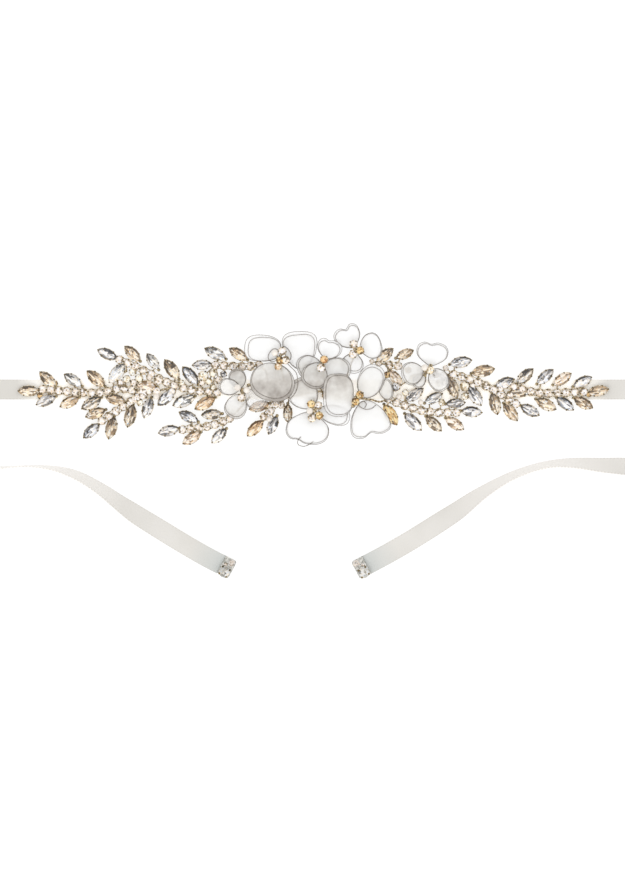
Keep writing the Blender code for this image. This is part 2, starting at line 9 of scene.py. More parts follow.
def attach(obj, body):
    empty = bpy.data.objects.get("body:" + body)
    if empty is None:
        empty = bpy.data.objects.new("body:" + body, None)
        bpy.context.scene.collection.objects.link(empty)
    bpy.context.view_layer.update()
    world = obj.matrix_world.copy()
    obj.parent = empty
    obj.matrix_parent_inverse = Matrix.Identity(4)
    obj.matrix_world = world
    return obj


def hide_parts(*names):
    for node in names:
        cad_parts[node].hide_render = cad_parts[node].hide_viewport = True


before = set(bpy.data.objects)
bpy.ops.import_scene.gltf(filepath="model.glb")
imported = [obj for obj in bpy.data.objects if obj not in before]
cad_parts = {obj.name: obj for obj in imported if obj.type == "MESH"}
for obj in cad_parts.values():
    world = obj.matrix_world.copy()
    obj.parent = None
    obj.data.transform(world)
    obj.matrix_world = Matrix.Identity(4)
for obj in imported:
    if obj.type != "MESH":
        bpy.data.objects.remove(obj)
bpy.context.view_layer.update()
print("frame loaded")

mm = 0.001


# small modelling helpers

def clearSelection():
    if bpy.context.object and bpy.context.object.mode != "OBJECT":
        bpy.ops.object.mode_set(mode="OBJECT")
    bpy.ops.object.select_all(action="DESELECT")


def activate(*objects):
    clearSelection()
    for piece in objects:
        piece.select_set(True)
    bpy.context.view_layer.objects.active = objects[0]


def newShape(name, operator, **settings):
    clearSelection()
    operator(**settings)
    made = bpy.context.object
    made.name = name
    return made


def openEdit(piece, mode="VERT"):
    activate(piece)
    bpy.ops.object.mode_set(mode="EDIT")
    bpy.ops.mesh.select_mode(type=mode)


def closeEdit():
    bpy.ops.object.mode_set(mode="OBJECT")


def closeSolid():  # turns every face of the open mesh outward and leaves edit mode
    bpy.ops.mesh.select_all(action="SELECT")
    bpy.ops.mesh.normals_make_consistent(inside=False)
    closeEdit()


def pick(kind, test):  # selects verts, edges or faces of the mesh that is open, by their place
    mesh = bmesh.from_edit_mesh(bpy.context.object.data)
    for part in (mesh.verts, mesh.edges, mesh.faces):
        for item in part:
            item.select = False
    for item in getattr(mesh, kind):
        if test(item):
            item.select_set(True)
    mesh.select_flush_mode()
    bmesh.update_edit_mesh(bpy.context.object.data)


def applyModifiers(piece):
    activate(piece)
    for modifier in list(piece.modifiers):
        bpy.ops.object.modifier_apply(modifier=modifier.name)


def copyOf(model, name, matrix=Matrix.Identity(4)):
    made = model.copy()
    made.data = model.data.copy()
    made.name = name
    bpy.context.scene.collection.objects.link(made)
    made.data.transform(matrix)
    return made


def placed(x, y, z, aim=0.0, size=1.0):  # millimetres and degrees
    return (
        Matrix.Translation(Vector((x, y, z)) * mm)
        @ Matrix.Rotation(math.radians(aim), 4, "Z")
        @ Matrix.Diagonal((size, size, size, 1))
    )


def joined(name, pieces):
    activate(*pieces)
    if len(pieces) > 1:
        bpy.ops.object.join()
    made = bpy.context.object
    made.name = name
    return made


def dress(piece, *materials):
    piece.data.materials.clear()
    for material in materials:
        piece.data.materials.append(material)
    return piece


def discard(*pieces):
    for piece in pieces:
        bpy.data.objects.remove(piece)


def declare(piece, slotName, *nodes):  # its body, its material slot, which is not used, and the nodes it stands for
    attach(piece, "root")
    if nodes:
        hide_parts(*nodes)


# shader helpers

def linear(red, green, blue):  # a screen colour, 0 to 255, as the renderer's own
    def one(value):
        value /= 255
        return value / 12.92 if value <= 0.04045 else ((value + 0.055) / 1.055) ** 2.4
    return (one(red), one(green), one(blue), 1.0)


class Signal:  # a shader socket that adds its own Math nodes
    def __init__(self, finish, socket):
        self.finish, self.socket = finish, socket

    def __add__(self, other):
        return self.finish.math("ADD", self, other)

    __radd__ = __add__

    def __sub__(self, other):
        return self.finish.math("SUBTRACT", self, other)

    def __rsub__(self, other):
        return self.finish.math("SUBTRACT", other, self)

    def __mul__(self, other):
        return self.finish.math("MULTIPLY", self, other)

    def __truediv__(self, other):
        return self.finish.math("DIVIDE", self, other)

    def __pow__(self, other):
        return self.finish.math("POWER", self, other)

    def sine(self):
        return self.finish.math("SINE", self)

    def size(self):
        return self.finish.math("ABSOLUTE", self)

    def above(self, limit):
        return self.finish.math("GREATER_THAN", self, limit)


class Finish:  # one material, its fixed numbers on the shader's own sockets
    def __init__(self, name, fixed):
        self.material = bpy.data.materials.new(name)
        self.material.use_nodes = True
        self.tree = self.material.node_tree
        self.shader = self.tree.nodes["Principled BSDF"]
        for socket, value in fixed.items():
            self.shader.inputs[socket].default_value = value

    def feed(self, socket, value):
        if isinstance(value, Signal):
            self.tree.links.new(value.socket, socket)
        else:
            socket.default_value = value

    def add(self, kind, settings, sockets, output=0):
        node = self.tree.nodes.new(kind)
        for key, value in settings.items():
            if key == "stops":
                while len(node.color_ramp.elements) < len(value):
                    node.color_ramp.elements.new(0.5)
                for element, (place, color) in zip(node.color_ramp.elements, value):
                    element.position, element.color = place, color
            else:
                setattr(node, key, value)
        for key, value in sockets.items():
            self.feed(node.inputs[key], value)
        return Signal(self, node.outputs[output])

    def math(self, operation, first, second=0.0):
        return self.add("ShaderNodeMath", {"operation": operation}, {0: first, 1: second})

    def shader_in(self, name, value):
        self.feed(self.shader.inputs[name], value)

    def place(self):
        return self.add("ShaderNodeTexCoord", {}, {}, "Object")

    def uv(self):
        return self.add("ShaderNodeUVMap", {"uv_map": "UVMap"}, {})

    def attribute(self, name, output):
        return self.add("ShaderNodeAttribute", {"attribute_name": name}, {}, output)

    def noise(self, scale, vector=None):
        sockets = {"Vector": vector or self.place(), "Scale": scale, "Detail": 2.0}
        return self.add("ShaderNodeTexNoise", {}, sockets)

    def ramp(self, value, *stops):  # each stop is a place and a screen colour
        stops = [(place, linear(*color)) for place, *color in stops]
        return self.add("ShaderNodeValToRGB", {"stops": stops}, {0: value})

    def mix(self, share, first, second):
        return self.add("ShaderNodeMix", {"data_type": "RGBA"}, {0: share, 6: first, 7: second}, 2)

    def axis(self, vector, name):
        return self.add("ShaderNodeSeparateXYZ", {}, {0: vector}, name)

    def bump(self, height, strength, distance):
        sockets = {"Height": height, "Strength": strength, "Distance": distance}
        self.shader_in("Normal", self.add("ShaderNodeBump", {}, sockets))


# camera, floor and light

studio = {
    "cameraHeight": 2.0,
    "cameraY": -0.0384,
    "lens": 102.857,
    "floorHalf": 6.0,
    "floorDrop": 0.0003,
    "floorTone": 0.25,
    "floorGlow": 0.80,
    "skyTilt": (0.0, -0.85, 0.53),  # brightest towards the lower edge of the view
    "sky": ((0.0, 0.95), (0.53, 1.15), (1.0, 1.15)),  # place along the tilt, level
    "lamps": (  # name, place, width, height, power
        ("keyPanel", (-0.35, -1.6, 1.5), 1.4, 0.9, 8.0),
        ("fillPanel", (0.7, 1.3, 1.6), 1.2, 0.8, 3.0),
    ),
}


def buildStudio(s):
    scene = bpy.context.scene
    camera = bpy.data.objects.new("camera", bpy.data.cameras.new("camera"))
    scene.collection.objects.link(camera)
    camera.location = (0.0, s["cameraY"], s["cameraHeight"])
    camera.data.lens = s["lens"]
    camera.data.sensor_width = 36.0
    camera.data.clip_end = 50.0
    scene.camera = camera
    scene.view_settings.view_transform = "Standard"

    floor = newShape("floor", bpy.ops.mesh.primitive_plane_add, size=2 * s["floorHalf"])
    floor.data.transform(Matrix.Translation((0, 0, -s["floorDrop"])))
    paper = Finish("paleFloor", {"Roughness": 0.9, "Emission Strength": s["floorGlow"]})
    paper.shader.inputs["Emission Color"].default_value = (1, 1, 1, 1)
    paper.shader.inputs["Base Color"].default_value = (s["floorTone"], s["floorTone"], s["floorTone"], 1)
    dress(floor, paper.material)

    world = bpy.data.worlds.new("softDome")
    scene.world = world
    world.use_nodes = True
    tree = world.node_tree
    background = tree.nodes["Background"]
    place = tree.nodes.new("ShaderNodeTexCoord")
    tilt = tree.nodes.new("ShaderNodeVectorMath")
    tilt.operation = "DOT_PRODUCT"
    tilt.inputs[1].default_value = s["skyTilt"]
    ramp = tree.nodes.new("ShaderNodeValToRGB")
    ramp.color_ramp.interpolation = "EASE"
    ramp.color_ramp.elements.new(s["sky"][1][0])
    for element, (position, level) in zip(ramp.color_ramp.elements, s["sky"]):
        element.position, element.color = position, (level, level, level, 1)
    tree.links.new(place.outputs["Generated"], tilt.inputs[0])
    tree.links.new(tilt.outputs["Value"], ramp.inputs[0])
    tree.links.new(ramp.outputs[0], background.inputs["Color"])
    background.inputs["Strength"].default_value = 1.0

    for name, place, width, height, power in s["lamps"]:
        lamp = bpy.data.objects.new(name, bpy.data.lights.new(name, "AREA"))
        scene.collection.objects.link(lamp)
        lamp.data.shape = "RECTANGLE"
        lamp.data.size, lamp.data.size_y = width, height
        lamp.data.energy = power
        lamp.location = place
        lamp.rotation_euler = (-Vector(place)).to_track_quat("-Z", "Y").to_euler()


buildStudio(studio)
print("camera and light ready")


# finishes

satin = {  # metres
    "ribPitch": 0.0012,
    "tickPitch": 0.0027,
    "edgeFrom": 0.0070,
    "capShade": 0.034,  # how far the painted shade beside the end caps reaches along the cloth
    "backingGlowTo": 0.236,  # the cream backing under the sprays, with a painted glow that lifts the shade there
    "backingGlowFade": 0.030,
    "backingGlowFrom": -0.03,
}


def satinFinish(s, length):
    # the whole ribbon glows a little: painted light that softens its shade
    f = Finish("ribbonSatin", {"Roughness": 0.38, "Sheen Weight": 0.15, "Specular IOR Level": 0.35,
                               "Emission Strength": 0.30})
    uv, place = f.uv(), f.place()
    along, across = f.axis(uv, "X"), f.axis(uv, "Y")  # across is 0 in the middle
    rib = (along * (2 * math.pi / s["ribPitch"])).sine()
    tick = (along * (2 * math.pi / s["tickPitch"])).sine().above(0.1) * across.size().above(s["edgeFrom"])
    fromEnd = f.math("MINIMUM", along, length - along)
    capShade = f.math("MAXIMUM", 1 - fromEnd / s["capShade"], 0.0)
    body = f.ramp(f.noise(22.0), (0.35, 200, 197, 191), (0.65, 209, 206, 201))
    # painted sheen: the cloth is painted lighter where it rolls up on edge
    body = f.mix(f.attribute("rolled", "Fac") ** 2.5 * 0.8, body, linear(242, 238, 233))
    # painted shade: the cloth greys towards both end caps
    body = f.mix(capShade * 0.9, body, linear(178, 184, 183))
    body = f.mix(tick * 0.35, body, linear(184, 178, 170))
    # a cream backing under the sprays, and painted light: it glows to lift the shade the jewels cast
    fade = f.math("MAXIMUM", (s["backingGlowTo"] - f.axis(place, "X").size()) / s["backingGlowFade"], 0.0)
    backingGlow = f.math("MINIMUM", fade, 1.0) * f.axis(place, "Y").above(s["backingGlowFrom"])
    body = f.mix(backingGlow, body, linear(249, 246, 240))
    f.shader_in("Base Color", f.mix((rib * 0.5 + 0.5) * 0.10, body, linear(196, 193, 188)))
    # painted light: the ribbon glows, dim grey where bare and near white over the backing
    f.shader_in("Emission Color", f.mix(backingGlow, linear(100, 99, 96), linear(255, 251, 244)))
    f.bump(rib * 0.5 + f.noise(900.0, uv) * 0.5, 0.25, 0.0002)
    return f.material


def organzaFinish(threadPitch):
    f = Finish("petalOrganza", {"Roughness": 0.42, "Sheen Weight": 0.25, "Specular IOR Level": 0.45})
    uv = f.uv()
    weave = (f.axis(uv, "X") * (2 * math.pi / threadPitch)).sine()
    weave = weave * (f.axis(uv, "Y") * (2 * math.pi / threadPitch)).sine()
    hem, veil = f.attribute("rim", "Fac") ** 9.0, f.attribute("veil", "Fac")
    # painted shade: the veil share greys the cloth, mottled, and makes it more opaque
    shadeDepth = veil * (f.noise(90.0) * 1.6 + f.noise(260.0) * 0.8 - 0.25)
    cloth = f.ramp(shadeDepth, (0.0, 245, 245, 245), (0.25, 229, 227, 223), (0.55, 201, 196, 190),
                   (1.0, 158, 151, 144))
    f.shader_in("Base Color", f.mix(hem * 0.25, cloth, linear(186, 179, 171)))
    f.shader_in("Alpha", 0.44 + veil * 0.50 + hem * 0.12 + weave * 0.04)
    f.bump(weave, 0.15, 0.0001)
    return f.material


def crystalFinish():
    f = Finish("cutCrystal", {"Roughness": 0.08, "IOR": 1.5, "Coat Roughness": 0.02})
    haze = f.noise(1500.0)
    # the facet colours carry painted reflections and shade over the stone's own tint
    f.shader_in("Base Color", f.mix(haze * 0.04, f.attribute("facet", "Color"), linear(255, 252, 248)))
    f.shader_in("Coat Weight", haze * 0.2)
    return f.material


def cloudedFinish(name, fixed, scale, dull, lit, varied=(), grain=None):  # what varies follows the cloud
    f = Finish(name, fixed)
    cloud = f.noise(scale)
    f.shader_in("Base Color", f.ramp(cloud, dull, lit))
    for socket, slope, start in varied:
        f.shader_in(socket, cloud * slope + start)
    if grain:
        f.bump(f.noise(grain[0]), grain[1], 0.0001)
    return f.material


organza = organzaFinish(0.0007)
crystal = crystalFinish()
gold = cloudedFinish("paleGold", {"Metallic": 1.0}, 700.0, (0.38, 134, 115, 86), (0.66, 234, 218, 188),
                     [("Roughness", 0.30, 0.15)], (2500.0, 0.12))
prongs = cloudedFinish("darkProngs", {"Metallic": 1.0}, 800.0, (0.36, 66, 54, 30), (0.66, 138, 118, 76),
                       [("Roughness", 0.30, 0.20)])  # the claws are darker than the cups
silver = cloudedFinish("polishedSilver", {"Metallic": 1.0}, 900.0, (0.38, 144, 143, 136),
                       (0.62, 212, 210, 204), [("Roughness", 0.20, 0.10)], (3000.0, 0.10))
pearlCoat = cloudedFinish("creamPearl", {"Roughness": 0.2, "Coat Weight": 0.6, "Coat Roughness": 0.08}, 260.0,
                          (0.35, 222, 213, 204), (0.65, 236, 230, 221), grain=(1800.0, 0.05))
seed = cloudedFinish("seedBeads", {"Roughness": 0.28, "Coat Weight": 0.4, "Coat Roughness": 0.1}, 850.0,
                     (0.36, 84, 74, 64), (0.64, 150, 141, 130), [("Metallic", 0.3, 0.0)])
print("finishes ready")


# the ribbon, one satin strip on its course

ribbon = {
    "width": 15.9,
    "wall": 0.8,
    "lift": 0.05,
    "step": 5.0,
    "acrossCells": 6,
    "smoothAngle": 40,
    "stations": (  # x, y in millimetres, roll in degrees
        (-67.6, -142.6, 0), (-80.6, -136.1, 0), (-103.6, -123.0, 0), (-122.6, -111.3, 12),
        (-141.2, -99.6, 25), (-155.0, -89.7, 45), (-167.8, -80.2, 57), (-191.7, -67.1, 69),
        (-213.5, -61.9, 83), (-236.2, -61.6, 88), (-250.0, -62.6, 84), (-300.0, -67.0, 88),
        (-340.0, -74.0, 90), (-380.0, -79.0, 90), (-414.0, -72.0, 90), (-433.0, -52.0, 90),
        (-437.0, -26.0, 90), (-420.0, -3.0, 90), (-390.0, 7.0, 86), (-355.0, 7.0, 70),
        (-320.0, 3.5, 40), (-285.0, 0.5, 12), (-250.0, 0.0, 0), (-200.0, 0.0, 0),
        (200.0, 0.0, 0), (250.0, 0.0, 0), (285.0, 0.5, 12), (320.0, 3.5, 40),
        (355.0, 7.0, 70), (390.0, 7.0, 86), (420.0, -3.0, 90), (437.0, -26.0, 88),
        (433.0, -52.0, 80), (414.0, -72.0, 68), (380.0, -79.0, 55), (340.0, -74.0, 44),
        (295.0, -65.5, 37), (250.0, -61.5, 33), (232.5, -60.6, 45), (204.4, -58.8, 64),
        (190.7, -59.5, 71), (176.4, -62.6, 72), (162.2, -67.6, 70), (134.6, -82.9, 54),
        (114.0, -98.1, 26), (100.2, -107.1, 12), (86.6, -115.8, 0), (58.6, -132.2, 0),
        (38.2, -143.0, 0),
    ),
}


def slopesOf(values, lengths):
    steps = [(b - a) / length for a, b, length in zip(values, values[1:], lengths)]
    inner = [
        (before * nextLength + after * length) / (length + nextLength)
        for before, after, length, nextLength in zip(steps, steps[1:], lengths, lengths[1:])
    ]
    return [steps[0], *inner, steps[-1]]


def courseOf(points):  # a smooth line through rows of numbers
    lengths = [math.hypot(b[0] - a[0], b[1] - a[1]) for a, b in zip(points, points[1:])]
    columns = [(column, slopesOf(column, lengths)) for column in zip(*points)]

    def at(span, t):
        square, cube = t * t, t * t * t
        return [
            column[span] * (2 * cube - 3 * square + 1)
            + column[span + 1] * (3 * square - 2 * cube)
            + slope[span] * lengths[span] * (cube - 2 * square + t)
            + slope[span + 1] * lengths[span] * (cube - square)
            for column, slope in columns
        ]

    return at, lengths


def evenPoints(points, step):  # points at an even pitch along the smooth line
    at, lengths = courseOf(points)
    fine = [at(span, cell / 24) for span in range(len(lengths)) for cell in range(24)]
    fine.append(at(len(lengths) - 1, 1.0))
    gone = [0.0]
    for a, b in zip(fine, fine[1:]):
        gone.append(gone[-1] + math.hypot(b[0] - a[0], b[1] - a[1]))
    count = max(1, round(gone[-1] / step))
    found, cell = [], 0
    for number in range(count + 1):
        wanted = gone[-1] * number / count
        while cell < len(fine) - 2 and gone[cell + 1] < wanted:
            cell += 1
        share = (wanted - gone[cell]) / max(gone[cell + 1] - gone[cell], 1e-9)
        found.append([a + (b - a) * share for a, b in zip(fine[cell], fine[cell + 1])])
    return found, gone[-1]


def withHeadings(path):  # each point of a path with the way it heads there, in radians
    for cell, point in enumerate(path):
        before, after = path[max(cell - 1, 0)], path[min(cell + 1, len(path) - 1)]
        yield point, math.atan2(after[1] - before[1], after[0] - before[0])


def buildRibbon(r):
    sections, length = evenPoints(r["stations"], r["step"])
    count = len(sections) - 1
    sections = list(withHeadings(sections))
    grid = newShape("ribbon", bpy.ops.mesh.primitive_grid_add,
                    x_subdivisions=count, y_subdivisions=r["acrossCells"], size=2)
    mesh = grid.data
    rolled = mesh.attributes.new("rolled", "FLOAT", "POINT")
    uvs = mesh.uv_layers["UVMap"]
    for loop in mesh.loops:
        u, v = mesh.vertices[loop.vertex_index].co.xy
        uvs.data[loop.index].uv = ((u + 1) / 2 * length * mm, v * r["width"] / 2 * mm)
    for vertex in mesh.vertices:
        (x, y, roll), heading = sections[round((vertex.co.x + 1) / 2 * count)]
        roll = math.radians(roll)
        # how far the cloth rolls up, which sets its painted sheen
        rolled.data[vertex.index].value = abs(math.sin(roll))
        height = r["width"] / 2 * abs(math.sin(roll)) + r["wall"] / 2 * math.cos(roll)
        height += r["lift"] if abs(math.sin(roll)) > 0.01 else 0.0
        side = vertex.co.y * r["width"] / 2
        vertex.co = Vector((
            x - math.sin(heading) * math.cos(roll) * side,
            y + math.cos(heading) * math.cos(roll) * side,
            height + math.sin(roll) * side,
        )) * mm
    shell = grid.modifiers.new("wall", "SOLIDIFY")
    shell.thickness = r["wall"] * mm
    shell.offset = 0
    applyModifiers(grid)
    bpy.ops.object.shade_smooth_by_angle(angle=math.radians(r["smoothAngle"]))
    dress(grid, satinFinish(satin, length * mm))
    declare(grid, "ribbon", "ribbon_center", "ribbon_loop_left", "ribbon_loop_right",
            "ribbon_tail_left", "ribbon_tail_right")
    length * mm
    print("ribbon cut: %.2f m" % (length * mm))


buildRibbon(ribbon)


# stones and their cups, modelled once

stoneForms = {  # the girdle's height, the cup's foot and rim, and the angles of its claws
    "leaf": {"length": 16.6, "width": 8.3, "sides": 16, "girdle": 3.2, "cup": (1.0, 3.5),
             "claws": (0, 62, 118, 180, 242, 298)},
    "round": {"length": 6.0, "width": 6.0, "sides": 12, "girdle": 3.3, "cup": (1.0, 3.6),
              "claws": (45, 135, 225, 315)},
}
stoneCut = ((0.45, 1.0), (0.85, 0.80), (0.45, 0.80))  # rise and share: the girdle and the crown's two rings
tableCut = ((0.0, 0.66), (0.0, 0.45))  # the table, with the cut of the back seen through it
stoneBack = (-1.2, 0.55)
cupForm = {"wall": 0.35, "foot": 0.78, "belly": 1.16, "clawWidth": 0.9, "clawDepth": 1.0, "clawOver": 0.15,
           "clawOut": 0.1, "clawPinch": 0.62}
clawBends = ((0.45, 0.45, 0.8, 0.75), (0.7, 0.15, 0.6, 0.6))  # inward, up, and what is left of its width
pearlForm = {"radius": 2.7, "seat": 0.25}

tones = {  # dark, middle and bright facets as screen colours: the stone's own tint at three levels of painted reflection and shade
    "champagne": ((70, 54, 36), (180, 154, 123), (243, 231, 212)),
    "clear": ((48, 47, 50), (180, 175, 171), (245, 242, 240)),
    "pale": ((72, 70, 68), (208, 204, 199), (248, 246, 243)),
    "umber": ((48, 34, 20), (140, 118, 92), (238, 226, 206)),
    "blush": ((120, 94, 66), (228, 208, 186), (247, 238, 226)),
    "shell": ((140, 130, 120), (194, 185, 176), (210, 202, 194)),
    "gold": ((80, 52, 18), (196, 148, 78), (242, 220, 168)),
    "amber": ((70, 40, 14), (184, 126, 68), (240, 204, 150)),
    "honey": ((84, 54, 28), (200, 164, 122), (243, 228, 206)),
    "smoke": ((30, 30, 36), (142, 139, 138), (240, 238, 238)),
    "mixed": ((42, 38, 36), (164, 150, 132), (240, 232, 221)),
    "white": ((120, 102, 74), (220, 206, 190), (243, 236, 231)),
    "cream": ((150, 130, 92), (228, 215, 192), (243, 239, 228)),
    "bronze": ((50, 30, 12), (140, 100, 56), (232, 196, 136)),
    "olive": ((36, 28, 16), (98, 82, 54), (176, 156, 116)),
    "ice": ((88, 84, 74), (174, 171, 163), (220, 216, 209)),
}
deepTones = ("gold", "amber", "bronze", "ice")
coolTones = ("clear", "pale", "smoke", "ice", "shell")

facetLight = {  # painted reflections and shade: how bright the facets of a leaf, a round stone and a deep-toned round stone are painted
    "leaf": {"sectors": 8, "base": 0.60, "south": 0.24, "rings": (0.12, 0.0, -0.12),
             "spread": (-0.55, -0.38, -0.2, 0.0, 0.1, 0.22, 0.32)},
    "round": {"sectors": 6, "base": 0.76, "south": 0.10, "rings": (0.04, -0.04),
              "spread": (-0.7, -0.4, -0.1, 0.1, 0.2, 0.25)},
    "deep": {"sectors": 6, "base": 0.76, "south": 0.10, "rings": (-0.16, -0.28),
             "spread": (-0.55, -0.35, -0.1, 0.2, 0.35, 0.45)},
    "southRim": 0.06,  # painted light: the outer ring of a leaf is that much brighter on its south side, where the light comes from
    # painted shade: a leaf is darker towards its tips
    "tipFrom": 0.78,
    "tipDark": 0.20,
    "brokenFrom": 0.25,  # one end of a leaf breaks up into small facets
    "broken": (-0.50, 0.32),
    "shake": 0.10,
    "warmth": 0.085,
    "coolWarmth": 0.06,
}


def taperEnds(halfLength):  # draws a stretched circle out to a point at both ends
    for share, squeeze in ((0.924, 0.74), (0.707, 0.85), (0.383, 0.956)):
        pick("verts", lambda v: abs(abs(v.co.x) - share * halfLength) < 0.03 * halfLength)
        bpy.ops.transform.resize(value=(1, squeeze, 1))


def raiseRing(rise, share):
    bpy.ops.mesh.extrude_region_move(TRANSFORM_OT_translate={"value": (0, 0, rise * mm)})
    bpy.ops.transform.resize(value=(share, share, 1))


def stoneOutline(name, s, spare, height):  # its face, open for modelling and selected
    length, width = s["length"] + 2 * spare, s["width"] + 2 * spare
    made = newShape(name, bpy.ops.mesh.primitive_circle_add, vertices=s["sides"], radius=length / 2 * mm,
                    fill_type="NGON")
    openEdit(made)
    bpy.ops.mesh.select_all(action="SELECT")
    bpy.ops.transform.translate(value=(0, 0, height * mm))
    if width < length:
        bpy.ops.transform.resize(value=(1, width / length, 1))
        taperEnds(length / 2 * mm)
    bpy.ops.mesh.select_mode(type="FACE")
    bpy.ops.mesh.select_all(action="SELECT")
    return made


def stoneModel(name, s):
    made = stoneOutline(name, s, 0.0, s["girdle"])
    for rise, share in (*stoneCut, *tableCut):
        raiseRing(rise, share)
    bpy.ops.mesh.poke()
    low = s["girdle"] * mm * 1.02
    pick("faces", lambda f: f.normal.z < -0.9 or (len(f.verts) > 4 and f.calc_center_median().z < low))
    raiseRing(*stoneBack)
    bpy.ops.mesh.select_all(action="SELECT")
    bpy.ops.mesh.quads_convert_to_tris(quad_method="FIXED", ngon_method="BEAUTY")
    closeSolid()
    made.data.color_attributes.new("facet", "FLOAT_COLOR", "CORNER")
    return dress(made, crystal)


def claw(name, low, high):  # a bent prong that leans over a stone's edge
    made = newShape(name, bpy.ops.mesh.primitive_cube_add, size=1)
    made.data.transform(Matrix.Diagonal((cupForm["clawWidth"] * mm, cupForm["clawDepth"] * mm,
                                         (high - low) * mm, 1)))
    made.data.transform(Matrix.Translation((0, 0, (low + high) / 2 * mm)))
    openEdit(made, "FACE")
    pick("faces", lambda f: f.normal.z > 0.9)
    for inward, rise, shareX, shareY in clawBends:
        bpy.ops.mesh.extrude_region_move(TRANSFORM_OT_translate={"value": (-inward * mm, 0, rise * mm)})
        bpy.ops.transform.resize(value=(shareX, shareY, 1))
    closeEdit()
    return dress(made, prongs)


def cupModel(name, s, c):
    length, width, (low, high) = s["length"], s["width"], s["cup"]
    made = stoneOutline(name, s, c["wall"], low)
    bpy.ops.transform.resize(value=(c["foot"], c["foot"], 1))
    rise = high - low
    raiseRing(rise * 0.45, c["belly"])
    raiseRing(rise * 0.55, 1.0 / (c["foot"] * c["belly"]))
    raiseRing(0.0, 1 - 2 * c["wall"] / width)
    raiseRing(-rise * 0.4, 0.92)
    closeSolid()
    parts = [dress(made, gold)]
    for angle in s["claws"]:
        east, north = math.cos(math.radians(angle)), math.sin(math.radians(angle))
        pinch = c["clawPinch"] * abs(east) ** 3 if width < length else 0.0
        reachX = (length / 2 + c["clawOut"]) * east
        reachY = (width / 2 + c["clawOut"]) * north * (1.0 - pinch)
        prong = claw(name + "Claw", (low + high) / 2, high + c["clawOver"])
        turn = math.atan2(reachY * length / width, reachX * width / length)
        prong.data.transform(placed(reachX, reachY, 0, math.degrees(turn)))
        parts.append(prong)
    return joined(name, parts)


def pearlModel(p):
    made = newShape("pearl", bpy.ops.mesh.primitive_uv_sphere_add, segments=20, ring_count=12,
                    radius=p["radius"] * mm)
    openEdit(made)
    pick("verts", lambda v: v.co.z < -0.8 * p["radius"] * mm)
    bpy.ops.transform.translate(value=(0, 0, p["seat"] * mm))  # a flat seat under the pearl
    closeEdit()
    bpy.ops.object.shade_smooth()
    return dress(made, pearlCoat)


models = {kind: (stoneModel(kind + "Stone", form), cupModel(kind + "Cup", form, cupForm))
          for kind, form in stoneForms.items()}
pearlBall = pearlModel(pearlForm)


def facePlace(face):  # to the micron: the mesh's own order of faces isn't the same in every run
    return tuple(round(part, 6) + 0.0 for part in face.center)


# paints each facet: the stone's own tint with painted reflections, glints and shade
def paintFacets(stone, form, tone, aim, dice):  # before the stone is moved to its place
    dark, middle, bright = (linear(*color) for color in tones[tone])
    turn = math.radians(aim)
    halfLength, halfWidth = stoneForms[form]["length"] / 2 * mm, stoneForms[form]["width"] / 2 * mm
    drawn = form == "leaf"
    look = facetLight["deep" if tone in deepTones and not drawn else form]
    spread = facetLight["deep"]["spread"] if tone in deepTones else look["spread"]
    sectors, rings = look["sectors"], look["rings"]
    chance = [[dice.choice(spread) for _ in range(sectors)] for _ in rings]
    brokenEnd = dice.choice((-1, 1))
    colors = stone.data.color_attributes["facet"].data
    for face in sorted(stone.data.polygons, key=facePlace):
        x, y, _ = facePlace(face)
        u, v = x / halfLength, y / halfWidth
        south = -(x * math.sin(turn) + y * math.cos(turn)) / halfWidth
        south = max(-1.0, min(1.0, south))
        edge = abs(v) / max(1 - abs(u) ** 1.8, 0.05) if drawn else math.hypot(u, v)
        ring = min(len(rings) - 1, int(edge * len(rings)))
        sector = int((math.atan2(v, u) / (2 * math.pi) + 0.5) * sectors) % sectors
        # painted light: brighter towards the south, where the light comes from, darker rings, and painted
        # glints at random
        light = look["base"] + look["south"] * south + chance[ring][sector] + rings[ring]
        if drawn:
            light += facetLight["southRim"] if ring == 2 and south > 0 else 0.0
            light -= facetLight["tipDark"] if abs(u) > facetLight["tipFrom"] else 0.0
            light += dice.uniform(*facetLight["broken"]) if u * brokenEnd > facetLight["brokenFrom"] else 0.0
        shake = facetLight["shake"]
        light = max(0.0, min(1.0, light + dice.uniform(-shake, shake)))
        pair, share = ((dark, middle), light * 2) if light < 0.5 else ((middle, bright), light * 2 - 1)
        warmth = dice.gauss(0.0, facetLight["coolWarmth" if tone in coolTones else "warmth"])
        tint = (1 + warmth, 1.0, 1 - 1.6 * warmth, 1.0)
        color = [min(1.0, (a + (b - a) * share) * shift) for a, b, shift in zip(*pair, tint)]
        for loop in face.loop_indices:
            colors[loop].color = color


def setStone(name, form, tone, aim, spot, dice, cupped=True):  # a painted stone at its spot, in its cup
    stoneOf, cupOf = models[form]
    stone = copyOf(stoneOf, name + "Stone")
    paintFacets(stone, form, tone, aim, dice)
    stone.data.transform(spot)
    return [stone, copyOf(cupOf, name + "Cup", spot)] if cupped else [stone]


print("stones modelled")


# the sprays of leaves

sprayFrame = {
    "pitch": 6.8,
    "wireRadius": 0.50,
    "wireHeight": 2.2,
    "stalkRadius": 0.55,
    "twist": 5.0,
    "railReach": 2.9,
    "railWave": 0.55,
    "railHeight": 3.3,
    "railRadius": 0.32,
    "railStep": 0.85,
    "rowTone": "white",
    "extraLift": 0.4,
    "extraAim": 20,
    "pearlHeight": 3.4,
    "link": (2.0, 1.9),  # a wire's height at its ends and in its middle
    "stalk": (1.9, 1.7),
    "leafTilt": 5.0,
    "leafPivot": 3.2,
    "rootTone": "olive",
    "rootReach": 0.5,
    "rootLift": 1.5,
    "rootSize": 0.45,
}

